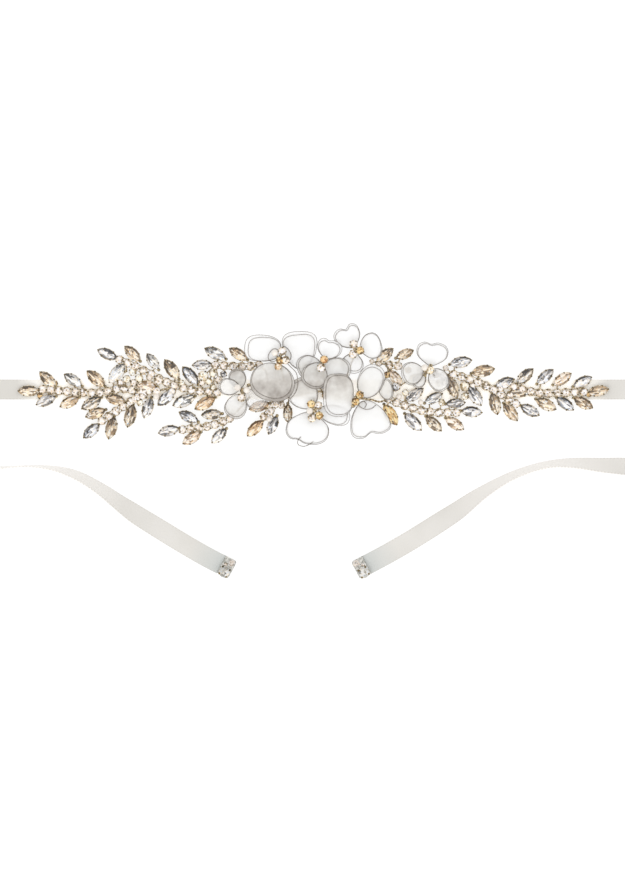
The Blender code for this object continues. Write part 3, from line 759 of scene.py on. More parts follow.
rows = {  # for each spray: whether the wire is bare, and the points of its course
    "spray_left_main": (
        (False, ((-215.7, 0.1), (-195.7, -1.5), (-166.8, -2.3), (-154.5, 0.5),
                 (-141.4, -0.7), (-124.4, -1.2))),
        (True, ((-124.4, -1.2), (-117.0, 0.5), (-109.0, 3.4))),
        (False, ((-168.4, -25.2), (-152.1, -14.2), (-134.0, -2.4))),
        (False, ((-154.1, 23.8), (-134.9, 15.2), (-116.4, 5.8), (-96.4, -0.3), (-76.0, -2.3))),
    ),
    "spray_left_upper": (
        (False, ((-77.6, 19.3), (-49.8, 18.5), (-42.5, 19.3))),
        (True, ((-42.5, 19.3), (-37.2, 14.0), (-35.6, 6.0))),
    ),
    "spray_left_lower": (
        (False, ((-104.0, -32.1), (-85.0, -29.6), (-71.6, -25.6), (-65.8, -22.9))),
        (True, ((-65.8, -22.9), (-57.0, -14.0), (-50.0, -6.0))),
    ),
    "spray_middle": (
        (False, ((-38.8, -22.0), (-34.0, -17.2), (-30.0, -11.6), (-25.2, -6.6))),
        (True, ((-25.2, -6.6), (-9.0, -4.4), (6.0, -1.6), (20.0, -4.4))),
    ),
    "spray_right_upper": (
        (True, ((71.5, 4.0), (65.5, 10.0), (61.2, 19.6))),
        (False, ((61.2, 19.6), (68.4, 18.8))),
    ),
    "spray_right_lower": (
        (True, ((54.5, -3.6), (60.4, -7.6))),
        (True, ((38.4, -7.4), (46.8, -8.2), (54.0, -9.8), (60.4, -7.6))),
        (False, ((60.4, -7.6), (73.2, -12.7), (93.9, -18.1), (115.0, -18.5))),
    ),
    "spray_right_main": (
        (False, ((112.4, 12.2), (132.2, 5.8), (151.4, -4.6), (162.5, -11.4))),
        (True, ((145.5, -0.8), (153.8, 3.8))),
        (False, ((153.8, 3.8), (176.8, -2.2), (216.6, -1.8))),
    ),
}

leaves = {  # for each spray: x, y, aim, size, tone
    "spray_left_main": (
        (-226.7, -1.2, 180, 1.0, "champagne"), (-211.6, 8.2, 137, 1.0, "champagne"),
        (-212.9, -8.9, 203, 1.0, "clear"), (-191.2, 7.4, 146, 1.0, "pale"),
        (-194.1, -10.1, 206, 1.0, "champagne"), (-172.9, 8.6, 139, 1.1, "champagne"),
        (-176.6, -11.0, 210, 1.06, "mixed"), (-157.0, -8.1, 165, 1.0, "champagne"),
        (-176.6, -33.0, 222, 1.0, "smoke"), (-173.3, -19.1, 200, 1.0, "champagne"),
        (-160.6, -30.7, 256, 1.08, "umber"), (-145.5, -21.1, 256, 1.1, "umber"),
        (-131.6, -14.6, 250, 1.02, "clear"), (-163.8, 28.2, 156, 1.0, "clear"),
        (-143.8, 28.6, 136, 1.0, "champagne"), (-155.9, 13.1, 230, 1.15, "pale"),
        (-127.6, 22.2, 126, 0.92, "pale"), (-112.4, 16.0, 126, 1.12, "umber"),
        (-97.6, 11.1, 131, 1.08, "smoke"), (-132.4, 2.8, 175, 1.0, "blush"),
        (-116.8, -6.5, 223, 1.06, "clear"), (-102.7, -9.1, 203, 1.12, "pale"),
        (-85.8, -11.0, 210, 1.1, "honey"),
    ),
    "spray_left_upper": (
        (-88.2, 19.7, 183, 0.93, "clear"), (-77.6, 28.6, 153, 1.1, "pale"),
        (-59.2, 28.2, 147, 1.0, "champagne"),
    ),
    "spray_left_lower": (
        (-114.8, -33.0, 193, 1.0, "clear"), (-99.0, -21.9, 153, 1.0, "smoke"),
        (-80.5, -19.9, 184, 0.97, "mixed"), (-96.4, -38.8, 213, 1.0, "blush"),
        (-74.6, -37.0, 224, 0.95, "clear"),
    ),
    "spray_middle": (
        (-42.5, -13.4, 197, 1.0, "honey"), (-45.8, -31.0, 225, 1.03, "honey"),
        (-31.8, -28.5, 245, 0.95, "smoke"), (-19.7, -18.9, 270, 0.88, "umber"),
    ),
    "spray_right_upper": (
        (57.8, 27.2, 40, 1.0, "champagne"), (73.7, 28.2, 24, 0.9, "champagne"),
        (66.2, 9.3, -50, 0.92, "blush"),
    ),
    "spray_right_lower": (
        (127.1, -17.8, -5, 1.0, "smoke"), (114.3, -11.0, 4, 0.92, "clear"), (81.4, -4.2, 35, 1.0, "clear"),
        (96.8, -7.0, 28, 0.95, "pale"), (62.3, -20.2, -58, 1.13, "gold"), (80.3, -26.0, -45, 1.1, "clear"),
        (96.8, -27.4, -43, 1.0, "umber"), (113.6, -27.4, -32, 1.0, "blush"),
    ),
    "spray_right_main": (
        (118.4, 21.7, 11, 1.05, "clear"), (136.2, 14.7, 11, 1.1, "champagne"),
        (153.6, 5.4, 20, 0.97, "clear"), (111.8, 1.9, -67, 1.1, "umber"), (129.7, -4.9, -58, 1.1, "smoke"),
        (145.7, -11.3, -77, 1.06, "umber"), (158.2, -18.1, -52, 1.04, "champagne"),
        (228.2, -1.2, 10, 1.0, "champagne"), (215.7, 6.1, 27, 0.97, "clear"),
        (199.4, 8.3, 32, 1.0, "blush"), (185.8, 10.2, 42, 1.0, "clear"), (169.7, 10.5, 43, 1.03, "mixed"),
        (165.4, -2.1, 3, 1.0, "umber"), (216.3, -10.8, -28, 1.0, "champagne"),
        (201.7, -11.4, -36, 1.0, "smoke"), (186.5, -11.9, -27, 1.05, "champagne"),
        (173.6, -16.7, -28, 1.0, "clear"),
    ),
}

extras = {  # small stones and pearls in the gaps between the rows: x, y, size, kind
    "spray_left_main": (
        (-217.8, -4.8, 0.7, "bronze"), (-205.2, 5.0, 0.55, "bronze"), (-143.6, 14.0, 0.95, "cream"),
        (-138.4, 9.2, 1.0, "cream"), (-148.4, 8.2, 0.95, "cream"), (-143.0, 5.4, 0.85, "white"),
        (-160.4, 7.2, 0.9, "pearl"), (-135.6, -5.2, 0.95, "white"), (-142.0, -8.0, 0.95, "white"),
        (-123.0, 7.4, 1.1, "white"), (-124.6, -5.6, 0.95, "pearl"), (-130.4, 9.6, 0.8, "white"),
        (-150.4, 15.4, 0.8, "cream"), (-153.6, 5.2, 0.85, "white"), (-136.8, 4.6, 0.8, "cream"),
        (-104.6, 5.0, 0.8, "cream"), (-112.2, -1.6, 0.9, "white"), (-137.8, -10.6, 0.85, "cream"),
        (-88.4, 5.6, 0.85, "white"),
    ),
    "spray_right_main": (
        (221.0, -4.0, 0.7, "bronze"), (127.8, 3.0, 0.8, "white"), (158.0, -4.6, 0.9, "white"),
        (150.2, 0.6, 0.8, "white"), (121.4, 2.4, 1.15, "cream"), (104.8, 11.0, 0.95, "white"),
        (98.6, 12.0, 0.9, "white"), (101.6, 5.2, 0.9, "cream"), (121.8, -5.4, 0.9, "cream"),
        (106.4, 17.0, 0.7, "white"),
    ),
    "spray_left_upper": (
        (-87.1, 10.8, 1.25, "cream"), (-79.6, 12.6, 0.9, "cream"), (-74.8, 7.4, 0.95, "white"),
        (-82.8, 6.4, 0.9, "cream"), (-79.4, 1.8, 0.8, "cream"), (-71.0, 12.2, 0.85, "smoke"),
    ),
    "spray_right_lower": (
        (86.4, -10.2, 0.85, "pearl"), (103.4, -10.6, 0.85, "cream"), (69.0, -5.6, 0.85, "pearl"),
        (74.2, -2.6, 0.8, "cream"),
    ),
    "spray_right_upper": (
        (66.4, 2.0, 1.1, "smoke"), (59.6, 11.8, 0.85, "bronze"), (69.8, 6.0, 0.5, "bronze"),
        (52.8, 20.6, 0.75, "white"), (47.4, 22.4, 0.6, "white"), (61.4, -2.6, 0.7, "cream"),
        (76.4, 15.4, 0.8, "bronze"), (80.6, 9.4, 0.85, "cream"),
    ),
    "spray_middle": (
        (-34.6, -23.6, 0.9, "pearl"), (7.4, 2.8, 0.85, "smoke"), (9.8, -4.8, 0.75, "bronze"),
        (12.4, 2.0, 0.7, "bronze"), (-24.8, -12.4, 0.9, "white"),
    ),
}


def wireAlong(name, points, radius):  # points in millimetres
    clearSelection()
    bpy.ops.curve.primitive_bezier_curve_add()
    made = bpy.context.object
    made.name = name
    curve = made.data
    curve.splines.clear()
    line = curve.splines.new("POLY")
    line.points.add(len(points) - 1)
    for point, place in zip(line.points, points):
        point.co = (place[0] * mm, place[1] * mm, place[2] * mm, 1)
    curve.dimensions = "3D"
    curve.bevel_depth = radius * mm
    curve.bevel_resolution = 1
    curve.use_fill_caps = True
    activate(made)
    bpy.ops.object.convert(target="MESH")
    bpy.ops.object.shade_smooth()
    return dress(bpy.context.object, gold)


def linkWire(name, start, end, heights, radius):  # from place to place, lower in the middle
    middle = ((start[0] + end[0]) / 2, (start[1] + end[1]) / 2, heights[1])
    return wireAlong(name, [(*start, heights[0]), middle, (*end, heights[0])], radius)


def twistedWire(name, points, s):  # two strands that turn round each other
    path, _ = evenPoints(points, 1.0)
    strands = []
    for start in (0.0, math.pi):
        places = []
        for cell, ((x, y), heading) in enumerate(withHeadings(path)):
            turn = start + 2 * math.pi * cell / s["twist"]
            side = s["wireRadius"] * math.cos(turn)
            rise = s["wireHeight"] + s["wireRadius"] * math.sin(turn)
            places.append((x - math.sin(heading) * side, y + math.cos(heading) * side, rise))
        strands.append(wireAlong(name, places, s["wireRadius"]))
    return strands


def railWires(name, points, s):  # the wavy wires that hold a row of cups from both sides
    path, length = evenPoints(points, s["railStep"])
    pitch = length / max(1, round(length / s["pitch"]))
    rails = []
    for side in (-1, 1):
        places = []
        for cell, ((x, y), heading) in enumerate(withHeadings(path)):
            wave = math.cos(2 * math.pi * cell * length / (len(path) - 1) / pitch)
            reach = side * (s["railReach"] + s["railWave"] * wave)
            places.append((x - math.sin(heading) * reach, y + math.cos(heading) * reach, s["railHeight"]))
        rails.append(wireAlong(name, places, s["railRadius"]))
    return rails


def nearestOf(place, places):
    return min(places, key=lambda other: math.hypot(other[0] - place[0], other[1] - place[1]))


def behind(x, y, aim, reach):
    return x - reach * math.cos(math.radians(aim)), y - reach * math.sin(math.radians(aim))


def buildLeaf(name, row, places, s):
    x, y, aim, size, tone = row
    dice = random.Random("%s %s %s" % (x, y, aim))
    tilt = Matrix.Rotation(math.radians(dice.uniform(-s["leafTilt"], s["leafTilt"])), 4, "X")
    lift = Matrix.Translation((0, 0, s["leafPivot"] * mm))
    spot = placed(x, y, 0, aim, size) @ lift @ tilt @ lift.inverted()
    parts = setStone(name, "leaf", tone, aim, spot, dice)
    length = stoneForms["leaf"]["length"]
    root = behind(x, y, aim, length / 2 * size + s["rootReach"])
    spot = placed(*root, s["rootLift"], aim, s["rootSize"])
    parts += setStone(name, "round", s["rootTone"], aim, spot, dice, cupped=False)
    start = behind(x, y, aim, length / 4)
    parts.append(linkWire(name + "Stalk", start, nearestOf(start, places), s["stalk"], s["stalkRadius"]))
    return parts


def buildSpray(name, s, dice):
    parts, places = [], []
    for bare, points in rows[name]:
        parts += twistedWire(name + "Wire", points, s)
        stops, _ = evenPoints(points, s["pitch"])
        places += stops
        if bare:
            continue
        parts += railWires(name + "Rail", points, s)
        for x, y in stops:
            turn = dice.uniform(0, 90)
            parts += setStone(name, "round", s["rowTone"], turn, placed(x, y, 0, turn), dice)
    for x, y, size, kind in extras.get(name, ()):
        if kind == "pearl":
            parts.append(copyOf(pearlBall, name + "Pearl", placed(x, y, s["pearlHeight"], 0, size)))
        else:
            spot = placed(x, y, s["extraLift"], s["extraAim"], size)
            parts += setStone(name, "round", kind, s["extraAim"], spot, dice)
        parts.append(linkWire(name + "Link", (x, y), nearestOf((x, y), places), s["link"], s["stalkRadius"]))
    for row in leaves[name]:
        parts += buildLeaf(name, row, places, s)
    declare(joined(name + "_jewels", parts), "spray", name)


for number, sprayName in enumerate(rows):
    buildSpray(sprayName, sprayFrame, random.Random(41 + number))
print("sprays built")


# the petals

petalForm = {
    "floor": 6.5,
    "pitch": 1.35,
    "notchWidth": 0.24,
    "bowlRise": 3.5,
    "bowlReach": 13.0,
    "cells": 26,
    "rootShift": 0.85,
    "ruffle": 0.30,
    "swing": 0.007,
    "beadInner": 0.36,
    "beadOuter": 0.33,
    "hem": 1.0,
    "innerLift": 0.35,
    "outerLift": -0.30,
    "beadLift": 0.05,
    "beadSteps": 96,
    "areaSpare": 1.08,
}

flowers = {  # centre, where its wire meets the ribbon, petal walls that its heart rises past
    "flower_1": (-55.2, -1.2, -55.2, -1.2, 2),
    "flower_2": (-26.0, 22.8, -22.8, 6.0, 3),
    "flower_3": (8.4, 22.8, 9.2, 6.5, 4),
    "flower_4": (34.8, 31.6, 26.0, 6.5, 1),
    "flower_5": (35.6, -6.8, 35.6, -6.8, 4),
    "flower_6": (1.2, -16.4, 1.2, -6.5, 2),
    "flower_7": (90.8, 14.8, 90.0, 6.0, 1),
}

petalColumns = (  # middle from the flower's centre, power of its outline, shade north and south, inner layer
    "midX", "midY", "aim", "length", "width", "egg", "power", "notch", "side", "level", "taper",
    "north", "south", "inner", "lean",
)

petals = {
    "flower_1": (
        (-11.0, 3.0, 170, 16.8, 13.0, 0.1, 2.3, 0.0, 0.0, 1, 0.3, 0.15, 0.0, 0.92, 0.0),
        (-5.2, -12.1, 244, 20.3, 17.2, 0.1, 2.3, 0.0, 0.0, 2, 0.3, -0.05, 0.48, 0.91, -2.0),
        (-4.4, 9.6, 110, 15.5, 13.5, 0.1, 2.2, 0.0, 0.0, 0, 0.3, 0.78, 0.04, 0.91, 0.0),
        (9.9, -6.5, 327, 19.2, 17.0, 0.1, 2.3, 0.0, 0.0, 0, 0.3, 0.0, -0.55, 0.91, 1.5),
    ),
    "flower_2": (
        (-13.4, 9.9, 178, 29.2, 20.8, 0.03, 3.0, 0.0, 0.0, 0, 0.2, 0.05, 0.0, 0.895, 3.0),
        (16.0, 8.4, 93, 29.6, 26.0, 0.22, 3.0, 0.0, 0.0, 0, 0.3, 0.05, 0.0, 0.91, 1.5),
        (-5.8, -17.0, 255, 30.2, 35.4, 0.05, 2.2, 0.0, 0.0, 3, 0.1, 0.14, 0.98, 0.91, -2.0),
    ),
    "flower_3": (
        (4.8, 9.2, 70, 15.6, 19.5, 0.1, 2.6, 1.5, 0.22, 2, 0.45, 0.03, 0.03, 0.87, 0.0),
        (10.7, -7.6, 325, 21.4, 21.6, 0.1, 2.2, 0.0, 0.0, 1, 0.3, 0.28, 0.04, 0.91, -1.5),
        (-6.4, -11.6, 245, 21.0, 20.5, 0.1, 2.2, 0.0, 0.0, 3, 0.3, 0.0, 0.85, 0.91, 1.5),
        (-11.2, -4.8, 205, 19.0, 19.0, 0.1, 2.2, 0.0, 0.0, 1, 0.3, 0.0, 0.5, 0.91, 0.0),
    ),
    "flower_4": (
        (-6.4, 10.0, 118, 18.6, 20.5, 0.2, 2.6, 3.0, -0.1, 0, 0.5, 0.04, 0.0, 0.91, -1.5),
        (11.7, 2.8, 15, 17.2, 20.4, 0.1, 2.3, 0.0, 0.0, 0, 0.3, 0.0, 0.03, 0.955, 0.0),
        (-2.9, -10.5, 258, 16.5, 17.5, 0.1, 2.3, 0.0, 0.0, 0, 0.5, 0.04, 0.02, 0.88, 0.0),
    ),
    "flower_5": (
        (-15.0, 2.2, 180, 24.0, 34.0, 0.0, 3.0, 0.0, 0.0, 4, 0.1, 0.82, -0.12, 0.91, 0.0),
        (9.0, -16.6, 284, 29.2, 29.2, 0.29, 3.2, 3.1, -0.04, 0, 0.4, 0.1, 0.02, 0.955, 1.5),
        (10.6, 13.0, 66, 27.6, 20.6, 0.05, 2.2, 0.0, 0.0, 1, 0.2, 0.14, 0.12, 0.91, 0.0),
        (22.9, 6.6, 10, 11.3, 17.0, 0.1, 2.2, 0.0, 0.0, 0, 0.2, 0.2, 0.3, 0.91, 0.0),
    ),
    "flower_6": (
        (-5.0, -14.4, 262, 25.8, 34.0, 0.08, 2.4, 2.4, -0.4, 1, 0.55, 0.04, 0.0, 0.962, 0.0),
        (-8.4, 12.7, 124, 25.6, 24.0, 0.1, 2.2, 0.0, 0.0, 2, 0.2, 0.8, -0.25, 0.91, 1.5),
        (15.8, -3.8, 345, 26.0, 15.4, 0.1, 2.4, 0.0, 0.0, 0, 0.3, 0.05, 0.0, 0.91, 0.0),
    ),
    "flower_7": (
        (4.4, 12.9, 82, 20.0, 24.5, 0.15, 2.5, 1.8, 0.13, 0, 0.9, 0.0, 0.02, 0.93, -1.0),
        (-11.1, -1.9, 200, 17.6, 18.0, 0.1, 2.3, 0.0, 0.0, 1, 0.3, 0.2, 0.2, 0.91, 0.0),
        (9.6, -7.2, 300, 19.0, 16.0, 0.0, 2.3, 0.0, 0.0, 0, 0.3, 0.04, 0.04, 0.93, 0.0),
        (-5.6, -7.6, 240, 13.0, 10.0, 0.1, 2.2, 0.0, 0.0, 0, 0.3, 0.35, 0.1, 0.91, 0.0),
    ),
}


def bowlHeight(x, y, p):
    near = sum(math.exp(-((math.hypot(x - f[0], y - f[1]) / p["bowlReach"]) ** 2)) for f in flowers.values())
    return p["bowlRise"] * (1 - near)


def petalPlace(shape, u, v, size, lift, waves, p):  # u, v in the unit disc; millimetres
    length, power = shape["length"], shape["power"]
    reach = math.hypot(u, v)
    if reach > 0:
        share = (abs(u / reach) ** power + abs(v / reach) ** power) ** (-1 / power)
        u, v = u * share, v * share
    turn = math.radians(shape["aim"])
    dent = math.exp(-(((v - shape["side"]) / p["notchWidth"]) ** 2)) * max(u, 0) ** 3
    along = length / 2 * u - shape["notch"] * dent
    narrowed = 1 - shape["taper"] * max(0.0, -u) ** 2  # at its root
    across = shape["width"] / 2 * v * (1 + shape["egg"] * u) * narrowed
    rootward = (1 - size) * length / 2  # the smaller layer keeps the root
    along, across = along * size - rootward * p["rootShift"], across * size
    angle = math.atan2(v, u)
    count, phase, sway, lean = waves
    wobble = math.sin(3 * angle + sway) + 0.7 * math.sin(5 * angle + 2.3 * sway)
    swing = 1 + p["swing"] * reach ** 2 * wobble
    along, across = along * swing, across * swing
    root = -length / 2
    along, across = (
        root + (along - root) * math.cos(lean) - across * math.sin(lean),
        (along - root) * math.sin(lean) + across * math.cos(lean),
    )
    x = shape["x"] + along * math.cos(turn) - across * math.sin(turn)
    y = shape["y"] + along * math.sin(turn) + across * math.cos(turn)
    z = p["floor"] + shape["level"] * p["pitch"] + bowlHeight(x, y, p) + lift
    flutter = p["ruffle"] * reach ** 4 * math.sin(count * angle + phase)
    z += flutter * (0.4 + 0.6 * max(0.0, math.cos(angle / 2)))
    return Vector((x, y, z)), (along, across)


def veilShadeAt(shape, y):  # painted shade on the sheer cloth, greyer where more lies under it: a run from north to south
    turn = math.radians(shape["aim"])
    half = math.hypot(shape["length"] / 2 * math.sin(turn), shape["width"] / 2 * math.cos(turn))
    share = max(0.0, min(1.0, (y - shape["y"]) / (2 * half) + 0.5))
    return shape["south"] + (shape["north"] - shape["south"]) * share


def buildLayer(name, shape, size, lift, waves, p):
    grid = newShape(name, bpy.ops.mesh.primitive_grid_add, x_subdivisions=p["cells"],
                    y_subdivisions=p["cells"], size=2)
    mesh = grid.data
    rim = mesh.attributes.new("rim", "FLOAT", "POINT")
    veil = mesh.attributes.new("veil", "FLOAT", "POINT")
    flat = {}
    for vertex in mesh.vertices:
        u, v = vertex.co.x, vertex.co.y
        u, v = u * math.sqrt(1 - v * v / 2), v * math.sqrt(1 - u * u / 2)
        rim.data[vertex.index].value = math.hypot(u, v)
        place, flat[vertex.index] = petalPlace(shape, u, v, size, lift, waves, p)
        veil.data[vertex.index].value = veilShadeAt(shape, place.y)
        vertex.co = place * mm
    uvs = mesh.uv_layers["UVMap"]
    for loop in mesh.loops:
        along, across = flat[loop.vertex_index]
        uvs.data[loop.index].uv = (along * mm, across * mm)
    activate(grid)
    bpy.ops.object.shade_smooth()
    return dress(grid, organza)


def beadEdge(name, shape, size, lift, waves, radius, p):
    steps = p["beadSteps"]
    outline = []
    for cell in range(steps):
        angle = 2 * math.pi * cell / steps
        outline.append(petalPlace(shape, math.cos(angle), math.sin(angle), size, lift, waves, p)[0] * mm)
    clearSelection()
    bpy.ops.curve.primitive_bezier_circle_add()
    path = bpy.context.object
    path.data.splines.clear()
    line = path.data.splines.new("POLY")
    line.points.add(len(outline) - 1)
    for point, place in zip(line.points, outline):
        point.co = (*place, 1)
    line.use_cyclic_u = True
    path.data.dimensions = "3D"
    bead = newShape(name, bpy.ops.mesh.primitive_ico_sphere_add, subdivisions=1, radius=radius * mm)
    around = sum((b - a).length for a, b in zip(outline, outline[1:] + outline[:1]))
    pitch = around / round(around / (2.05 * radius * mm))
    repeat = bead.modifiers.new("repeat", "ARRAY")
    repeat.fit_type = "FIXED_COUNT"
    repeat.count = round(around / pitch)
    repeat.use_relative_offset = False
    repeat.use_constant_offset = True
    repeat.constant_offset_displace = (pitch, 0, 0)
    bend = bead.modifiers.new("follow", "CURVE")
    bend.object = path
    applyModifiers(bead)
    bpy.ops.object.shade_smooth()
    discard(path)
    return dress(bead, seed)


def areaOf(piece):
    return sum(face.area for face in piece.data.polygons)


def buildPetal(name, shape, p):
    dice = random.Random(name)
    ripple = (dice.choice((4, 5, 6)), dice.uniform(0, 6.28))
    innerWaves = (*ripple, dice.uniform(0, 6.28), math.radians(shape["lean"]))
    outerWaves = (*ripple, dice.uniform(0, 6.28), 0.0)
    layers = (
        ("_inner", "Inner", shape["inner"], p["innerLift"], innerWaves, p["beadInner"], [name]),
        ("_outer", "Outer", 1.0, p["outerLift"], outerWaves, p["beadOuter"], []),
    )
    for ending, _, size, lift, waves, _, nodes in layers:
        layer = buildLayer(name + ending, shape, size, lift, waves, p)
        declare(layer, "petal", *nodes)
        cut = [(side * size + 2 * p["hem"]) * mm for side in (shape["width"], shape["length"])]
        min(areaOf(layer) * p["areaSpare"], cut[0] * cut[1])
    declare(joined(name + "_edges", [
        beadEdge(name + part, shape, size, lift + p["beadLift"], waves, radius, p)
        for _, part, size, lift, waves, radius, _ in layers
    ]), "petal")


for flowerName, shapes in petals.items():
    for number, row in enumerate(shapes, 1):
        shape = dict(zip(petalColumns, row))
        shape["x"] = flowers[flowerName][0] + shape["midX"]
        shape["y"] = flowers[flowerName][1] + shape["midY"]
        buildPetal("%s_petal_%d" % (flowerName, number), shape, petalForm)
print("petals built")


# the hearts of the flowers

heartForm = {
    "postRadius": 1.6,
    "padRadius": 2.8,
    "padHeight": 2.0,
    "wallHalf": 0.5,
    "gap": 0.3,
    "footHeight": 0.9,
    "scallop": 0.84,
    "stemRadius": 0.6,
    "arm": (1.8, 1.7),  # its height at its ends and in its middle
    "armRadius": 0.8,
    "stoneLift": 0.9,
    "stoneDrop": 2.6,
    "pearlRise": 1.5,
    "curlStep": 1.2,
    "curlLift": 1.0,
    "curlRadius": 0.30,
}

hearts = {  # for each flower: kind, x and y from its centre, size
    "flower_1": (
        ("pearl", -4.4, 2.4, 1.0), ("pearl", 2.8, 0.4, 1.0), ("white", -1.2, -5.6, 1.0),
        ("olive", -0.4, -0.9, 0.5), ("olive", 4.4, 4.4, 0.45),
    ),
    "flower_2": (
        ("gold", 0.2, -0.2, 1.0), ("honey", -1.4, -4.8, 0.9), ("white", 1.9, 7.1, 1.0),
        ("white", 4.6, 0.2, 1.0), ("pearl", -4.0, 6.0, 1.0),
    ),
    "flower_3": (
        ("amber", 0.8, 0.6, 1.0), ("white", -1.5, -5.9, 1.0),
    ),
    "flower_4": (
        ("gold", 3.1, -0.9, 1.0), ("white", -2.6, -3.6, 1.0), ("white", -2.2, 4.1, 1.0),
    ),
    "flower_5": (
        ("gold", 1.9, 2.2, 1.0), ("gold", -1.5, -3.1, 1.0), ("olive", -3.2, -6.4, 0.5),
    ),
    "flower_6": (
        ("gold", -2.3, 4.6, 1.0), ("gold", 4.2, -4.6, 1.0), ("white", -1.6, -6.5, 1.0),
        ("white", 3.4, 3.4, 1.0), ("pearl", -3.4, -0.8, 1.0),
    ),
    "flower_7": (
        ("pearl", -1.6, 2.4, 1.0), ("cream", 2.6, 0.4, 1.0), ("olive", 3.2, 4.0, 0.45),
        ("olive", -1.6, -3.4, 0.45),
    ),
}

curls = {  # for each flower: petal walls below a thin wire loop, and the points of its course
    "flower_2": (
        (0, ((-27.0, 23.4), (-33.6, 22.4), (-35.4, 25.4), (-34.0, 29.4),
             (-30.4, 32.4), (-27.0, 31.0), (-26.2, 24.2))),
        (0, ((-25.4, 24.0), (-25.2, 32.6), (-22.6, 34.2), (-19.6, 32.0),
             (-17.2, 27.6), (-17.6, 23.8), (-24.0, 22.6))),
        (3, ((-21.0, 21.4), (-16.6, 17.0), (-13.2, 13.4), (-11.8, 7.6),
             (-12.0, 1.8), (-14.0, -3.4), (-17.6, -7.6))),
    ),
    "flower_5": (
        (0, ((35.8, -11.8), (38.8, -14.6), (42.8, -16.0), (46.8, -15.4), (50.4, -12.6))),
        (0, ((41.0, -9.4), (43.0, -12.0), (41.4, -14.8))),
    ),
    "flower_7": (
        (0, ((97.4, 15.4), (98.4, 14.9), (98.0, 14.2))),
        (0, ((96.2, 11.7), (97.2, 11.3), (96.7, 10.6))),
    ),
    "flower_6": (
        (1, ((-9.0, -37.8), (-11.6, -40.6), (-11.4, -44.0), (-7.6, -45.4), (-2.2, -43.8), (0.6, -41.6))),
    ),
}


def padModel(name, top, h):  # a scalloped dish on the post
    made = newShape(name, bpy.ops.mesh.primitive_circle_add, vertices=16, radius=h["postRadius"] * mm,
                    fill_type="NGON")
    openEdit(made, "FACE")
    bpy.ops.mesh.select_all(action="SELECT")
    bpy.ops.transform.translate(value=(0, 0, h["footHeight"] * mm))
    flare = 1.5
    widen = h["padRadius"] / h["postRadius"] / flare
    for rise, share in ((top - h["footHeight"], 1.0), (0.5, flare), (0.9, widen), (0.25, 1.0), (-0.35, 0.75)):
        raiseRing(rise, share)
    pick("verts", lambda v: v.co.z > (top + 1.2) * mm and v.co.xy.length > 0.9 * h["padRadius"] * mm
         and round(math.degrees(math.atan2(v.co.y, v.co.x)) / 22.5) % 2 == 0)
    bpy.ops.transform.resize(value=(h["scallop"], h["scallop"], 1))
    closeSolid()
    return dress(made, gold)


def buildHeart(name, h, p, dice):
    x, y, armX, armY, levels = flowers[name]
    top = p["floor"] + levels * p["pitch"] + h["wallHalf"] + h["gap"]
    seat = top + h["padHeight"]
    pad = padModel(name + "Pad", top, h)
    pad.data.transform(placed(x, y, 0))
    parts = [pad]
    for kind, dx, dy, size in hearts[name]:
        stem = [(x, y, top + 0.6), (x + dx * 0.6, y + dy * 0.6, seat - 0.9), (x + dx, y + dy, seat - 0.4)]
        parts.append(wireAlong(name + "Wire", stem, h["stemRadius"]))
        if kind == "pearl":
            spot = placed(x + dx, y + dy, seat + h["pearlRise"], 0, size)
            parts.append(copyOf(pearlBall, name + "Pearl", spot))
            continue
        turn = dice.uniform(0, 90)
        spot = placed(x + dx, y + dy, seat - h["stoneDrop"] * size + h["stoneLift"], turn, size)
        parts += setStone(name, "round", kind, turn, spot, dice)
    if (armX, armY) != (x, y):
        parts.append(linkWire(name + "Arm", (x, y), (armX, armY), h["arm"], h["armRadius"]))
    for level, points in curls.get(name, ()):
        floor = p["floor"] + level * p["pitch"] + h["curlLift"]
        places = [(px, py, floor + bowlHeight(px, py, p)) for px, py in evenPoints(points, h["curlStep"])[0]]
        parts.append(dress(wireAlong(name + "Curl", places, h["curlRadius"]), seed))
    declare(joined(name + "_heart_jewels", parts), "heart", name + "_heart")


for number, flowerName in enumerate(flowers):
    buildHeart(flowerName, heartForm, petalForm, random.Random(70 + number))
print("hearts built")


# the end caps

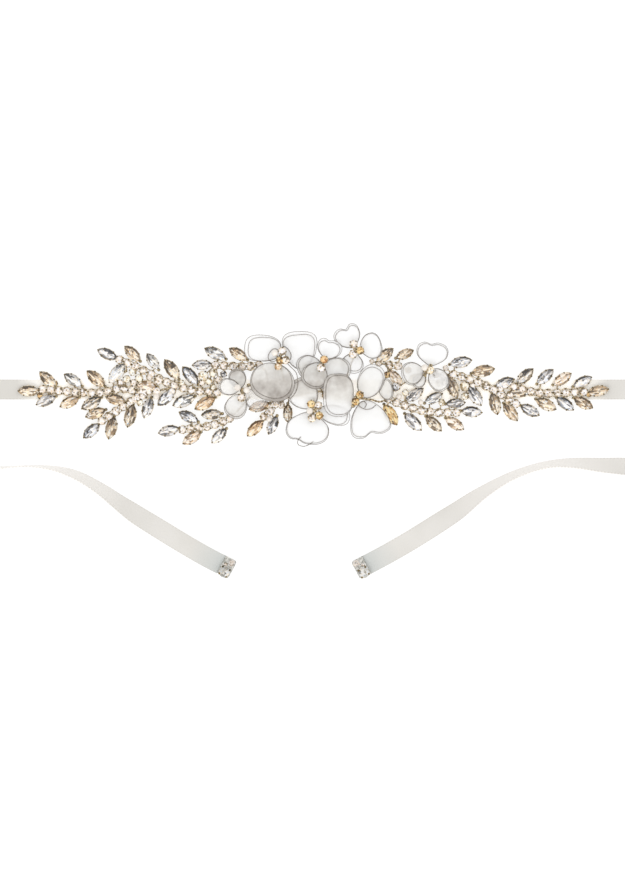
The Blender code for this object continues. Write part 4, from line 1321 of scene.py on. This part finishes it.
endCap = {
    "length": 10.0,
    "width": 16.0,
    "lip": 6.5,
    "top": 2.6,
    "corner": 2.2,
    "split": 1.3,  # above it the plate reaches on as a lip
    "soft": 0.35,
    "stoneDrop": 2.0,
    "stones": (  # x, y, size, tone, whether it has a cup
        # the small white stone at (-7.0, 1.6) stands in for a highlight on the plate: painted light
        (-5.0, -3.8, 1.42, "ice", True), (-7.0, 1.6, 0.5, "white", True), (-3.2, 5.2, 0.95, "shell", False),
    ),
    "ends": (("end_cap_left", -64.0, -144.5, -28, 1), ("end_cap_right", 34.6, -144.9, 208, -1)),
}


def capModel(c):
    made = newShape("endCap", bpy.ops.mesh.primitive_cube_add, size=1)
    made.data.transform(Matrix.Diagonal(((c["length"] - c["lip"]) * mm, c["width"] * mm, c["top"] * mm, 1)))
    made.data.transform(Matrix.Translation(((c["lip"] - c["length"]) / 2 * mm, 0, c["top"] / 2 * mm)))
    openEdit(made, "FACE")
    bpy.ops.mesh.select_all(action="SELECT")
    bpy.ops.mesh.bisect(plane_co=(0, 0, c["split"] * mm), plane_no=(0, 0, 1))
    pick("faces", lambda f: f.normal.x < -0.9 and f.calc_center_median().z > c["split"] * mm)
    bpy.ops.mesh.extrude_region_move(TRANSFORM_OT_translate={"value": (-c["lip"] * mm, 0, 0)})
    bpy.ops.mesh.select_all(action="SELECT")
    bpy.ops.mesh.remove_doubles(threshold=0.00001)
    pick("edges", lambda e: all(v.co.x > -0.1 * mm for v in e.verts)
         and abs(e.verts[0].co.z - e.verts[1].co.z) > 0.5 * mm)
    bpy.ops.mesh.bevel(offset=c["corner"] * mm, segments=4, affect="EDGES")
    closeSolid()
    soft = made.modifiers.new("soft", "BEVEL")
    soft.width = c["soft"] * mm
    soft.segments = 2
    applyModifiers(made)
    return dress(made, silver)


def buildCaps(c):
    model = capModel(c)
    for name, x, y, aim, mirror in c["ends"]:
        dice = random.Random(name)
        spot = placed(x, y, 0, aim)
        parts = [copyOf(model, name + "Plate", spot)]
        for stoneX, stoneY, size, tone, cupped in c["stones"]:
            local = placed(stoneX, stoneY * mirror, c["top"] - c["stoneDrop"] * size, 0, size)
            stones = setStone(name, "round", tone, aim, spot @ local, dice, cupped)
            for cup in stones[1:]:
                cup.data.materials[0] = silver
            parts += stones
        declare(joined(name + "_jewels", parts), "cap", name)
    discard(model)


buildCaps(endCap)
discard(pearlBall, *(model for pair in models.values() for model in pair))
print("end caps built")
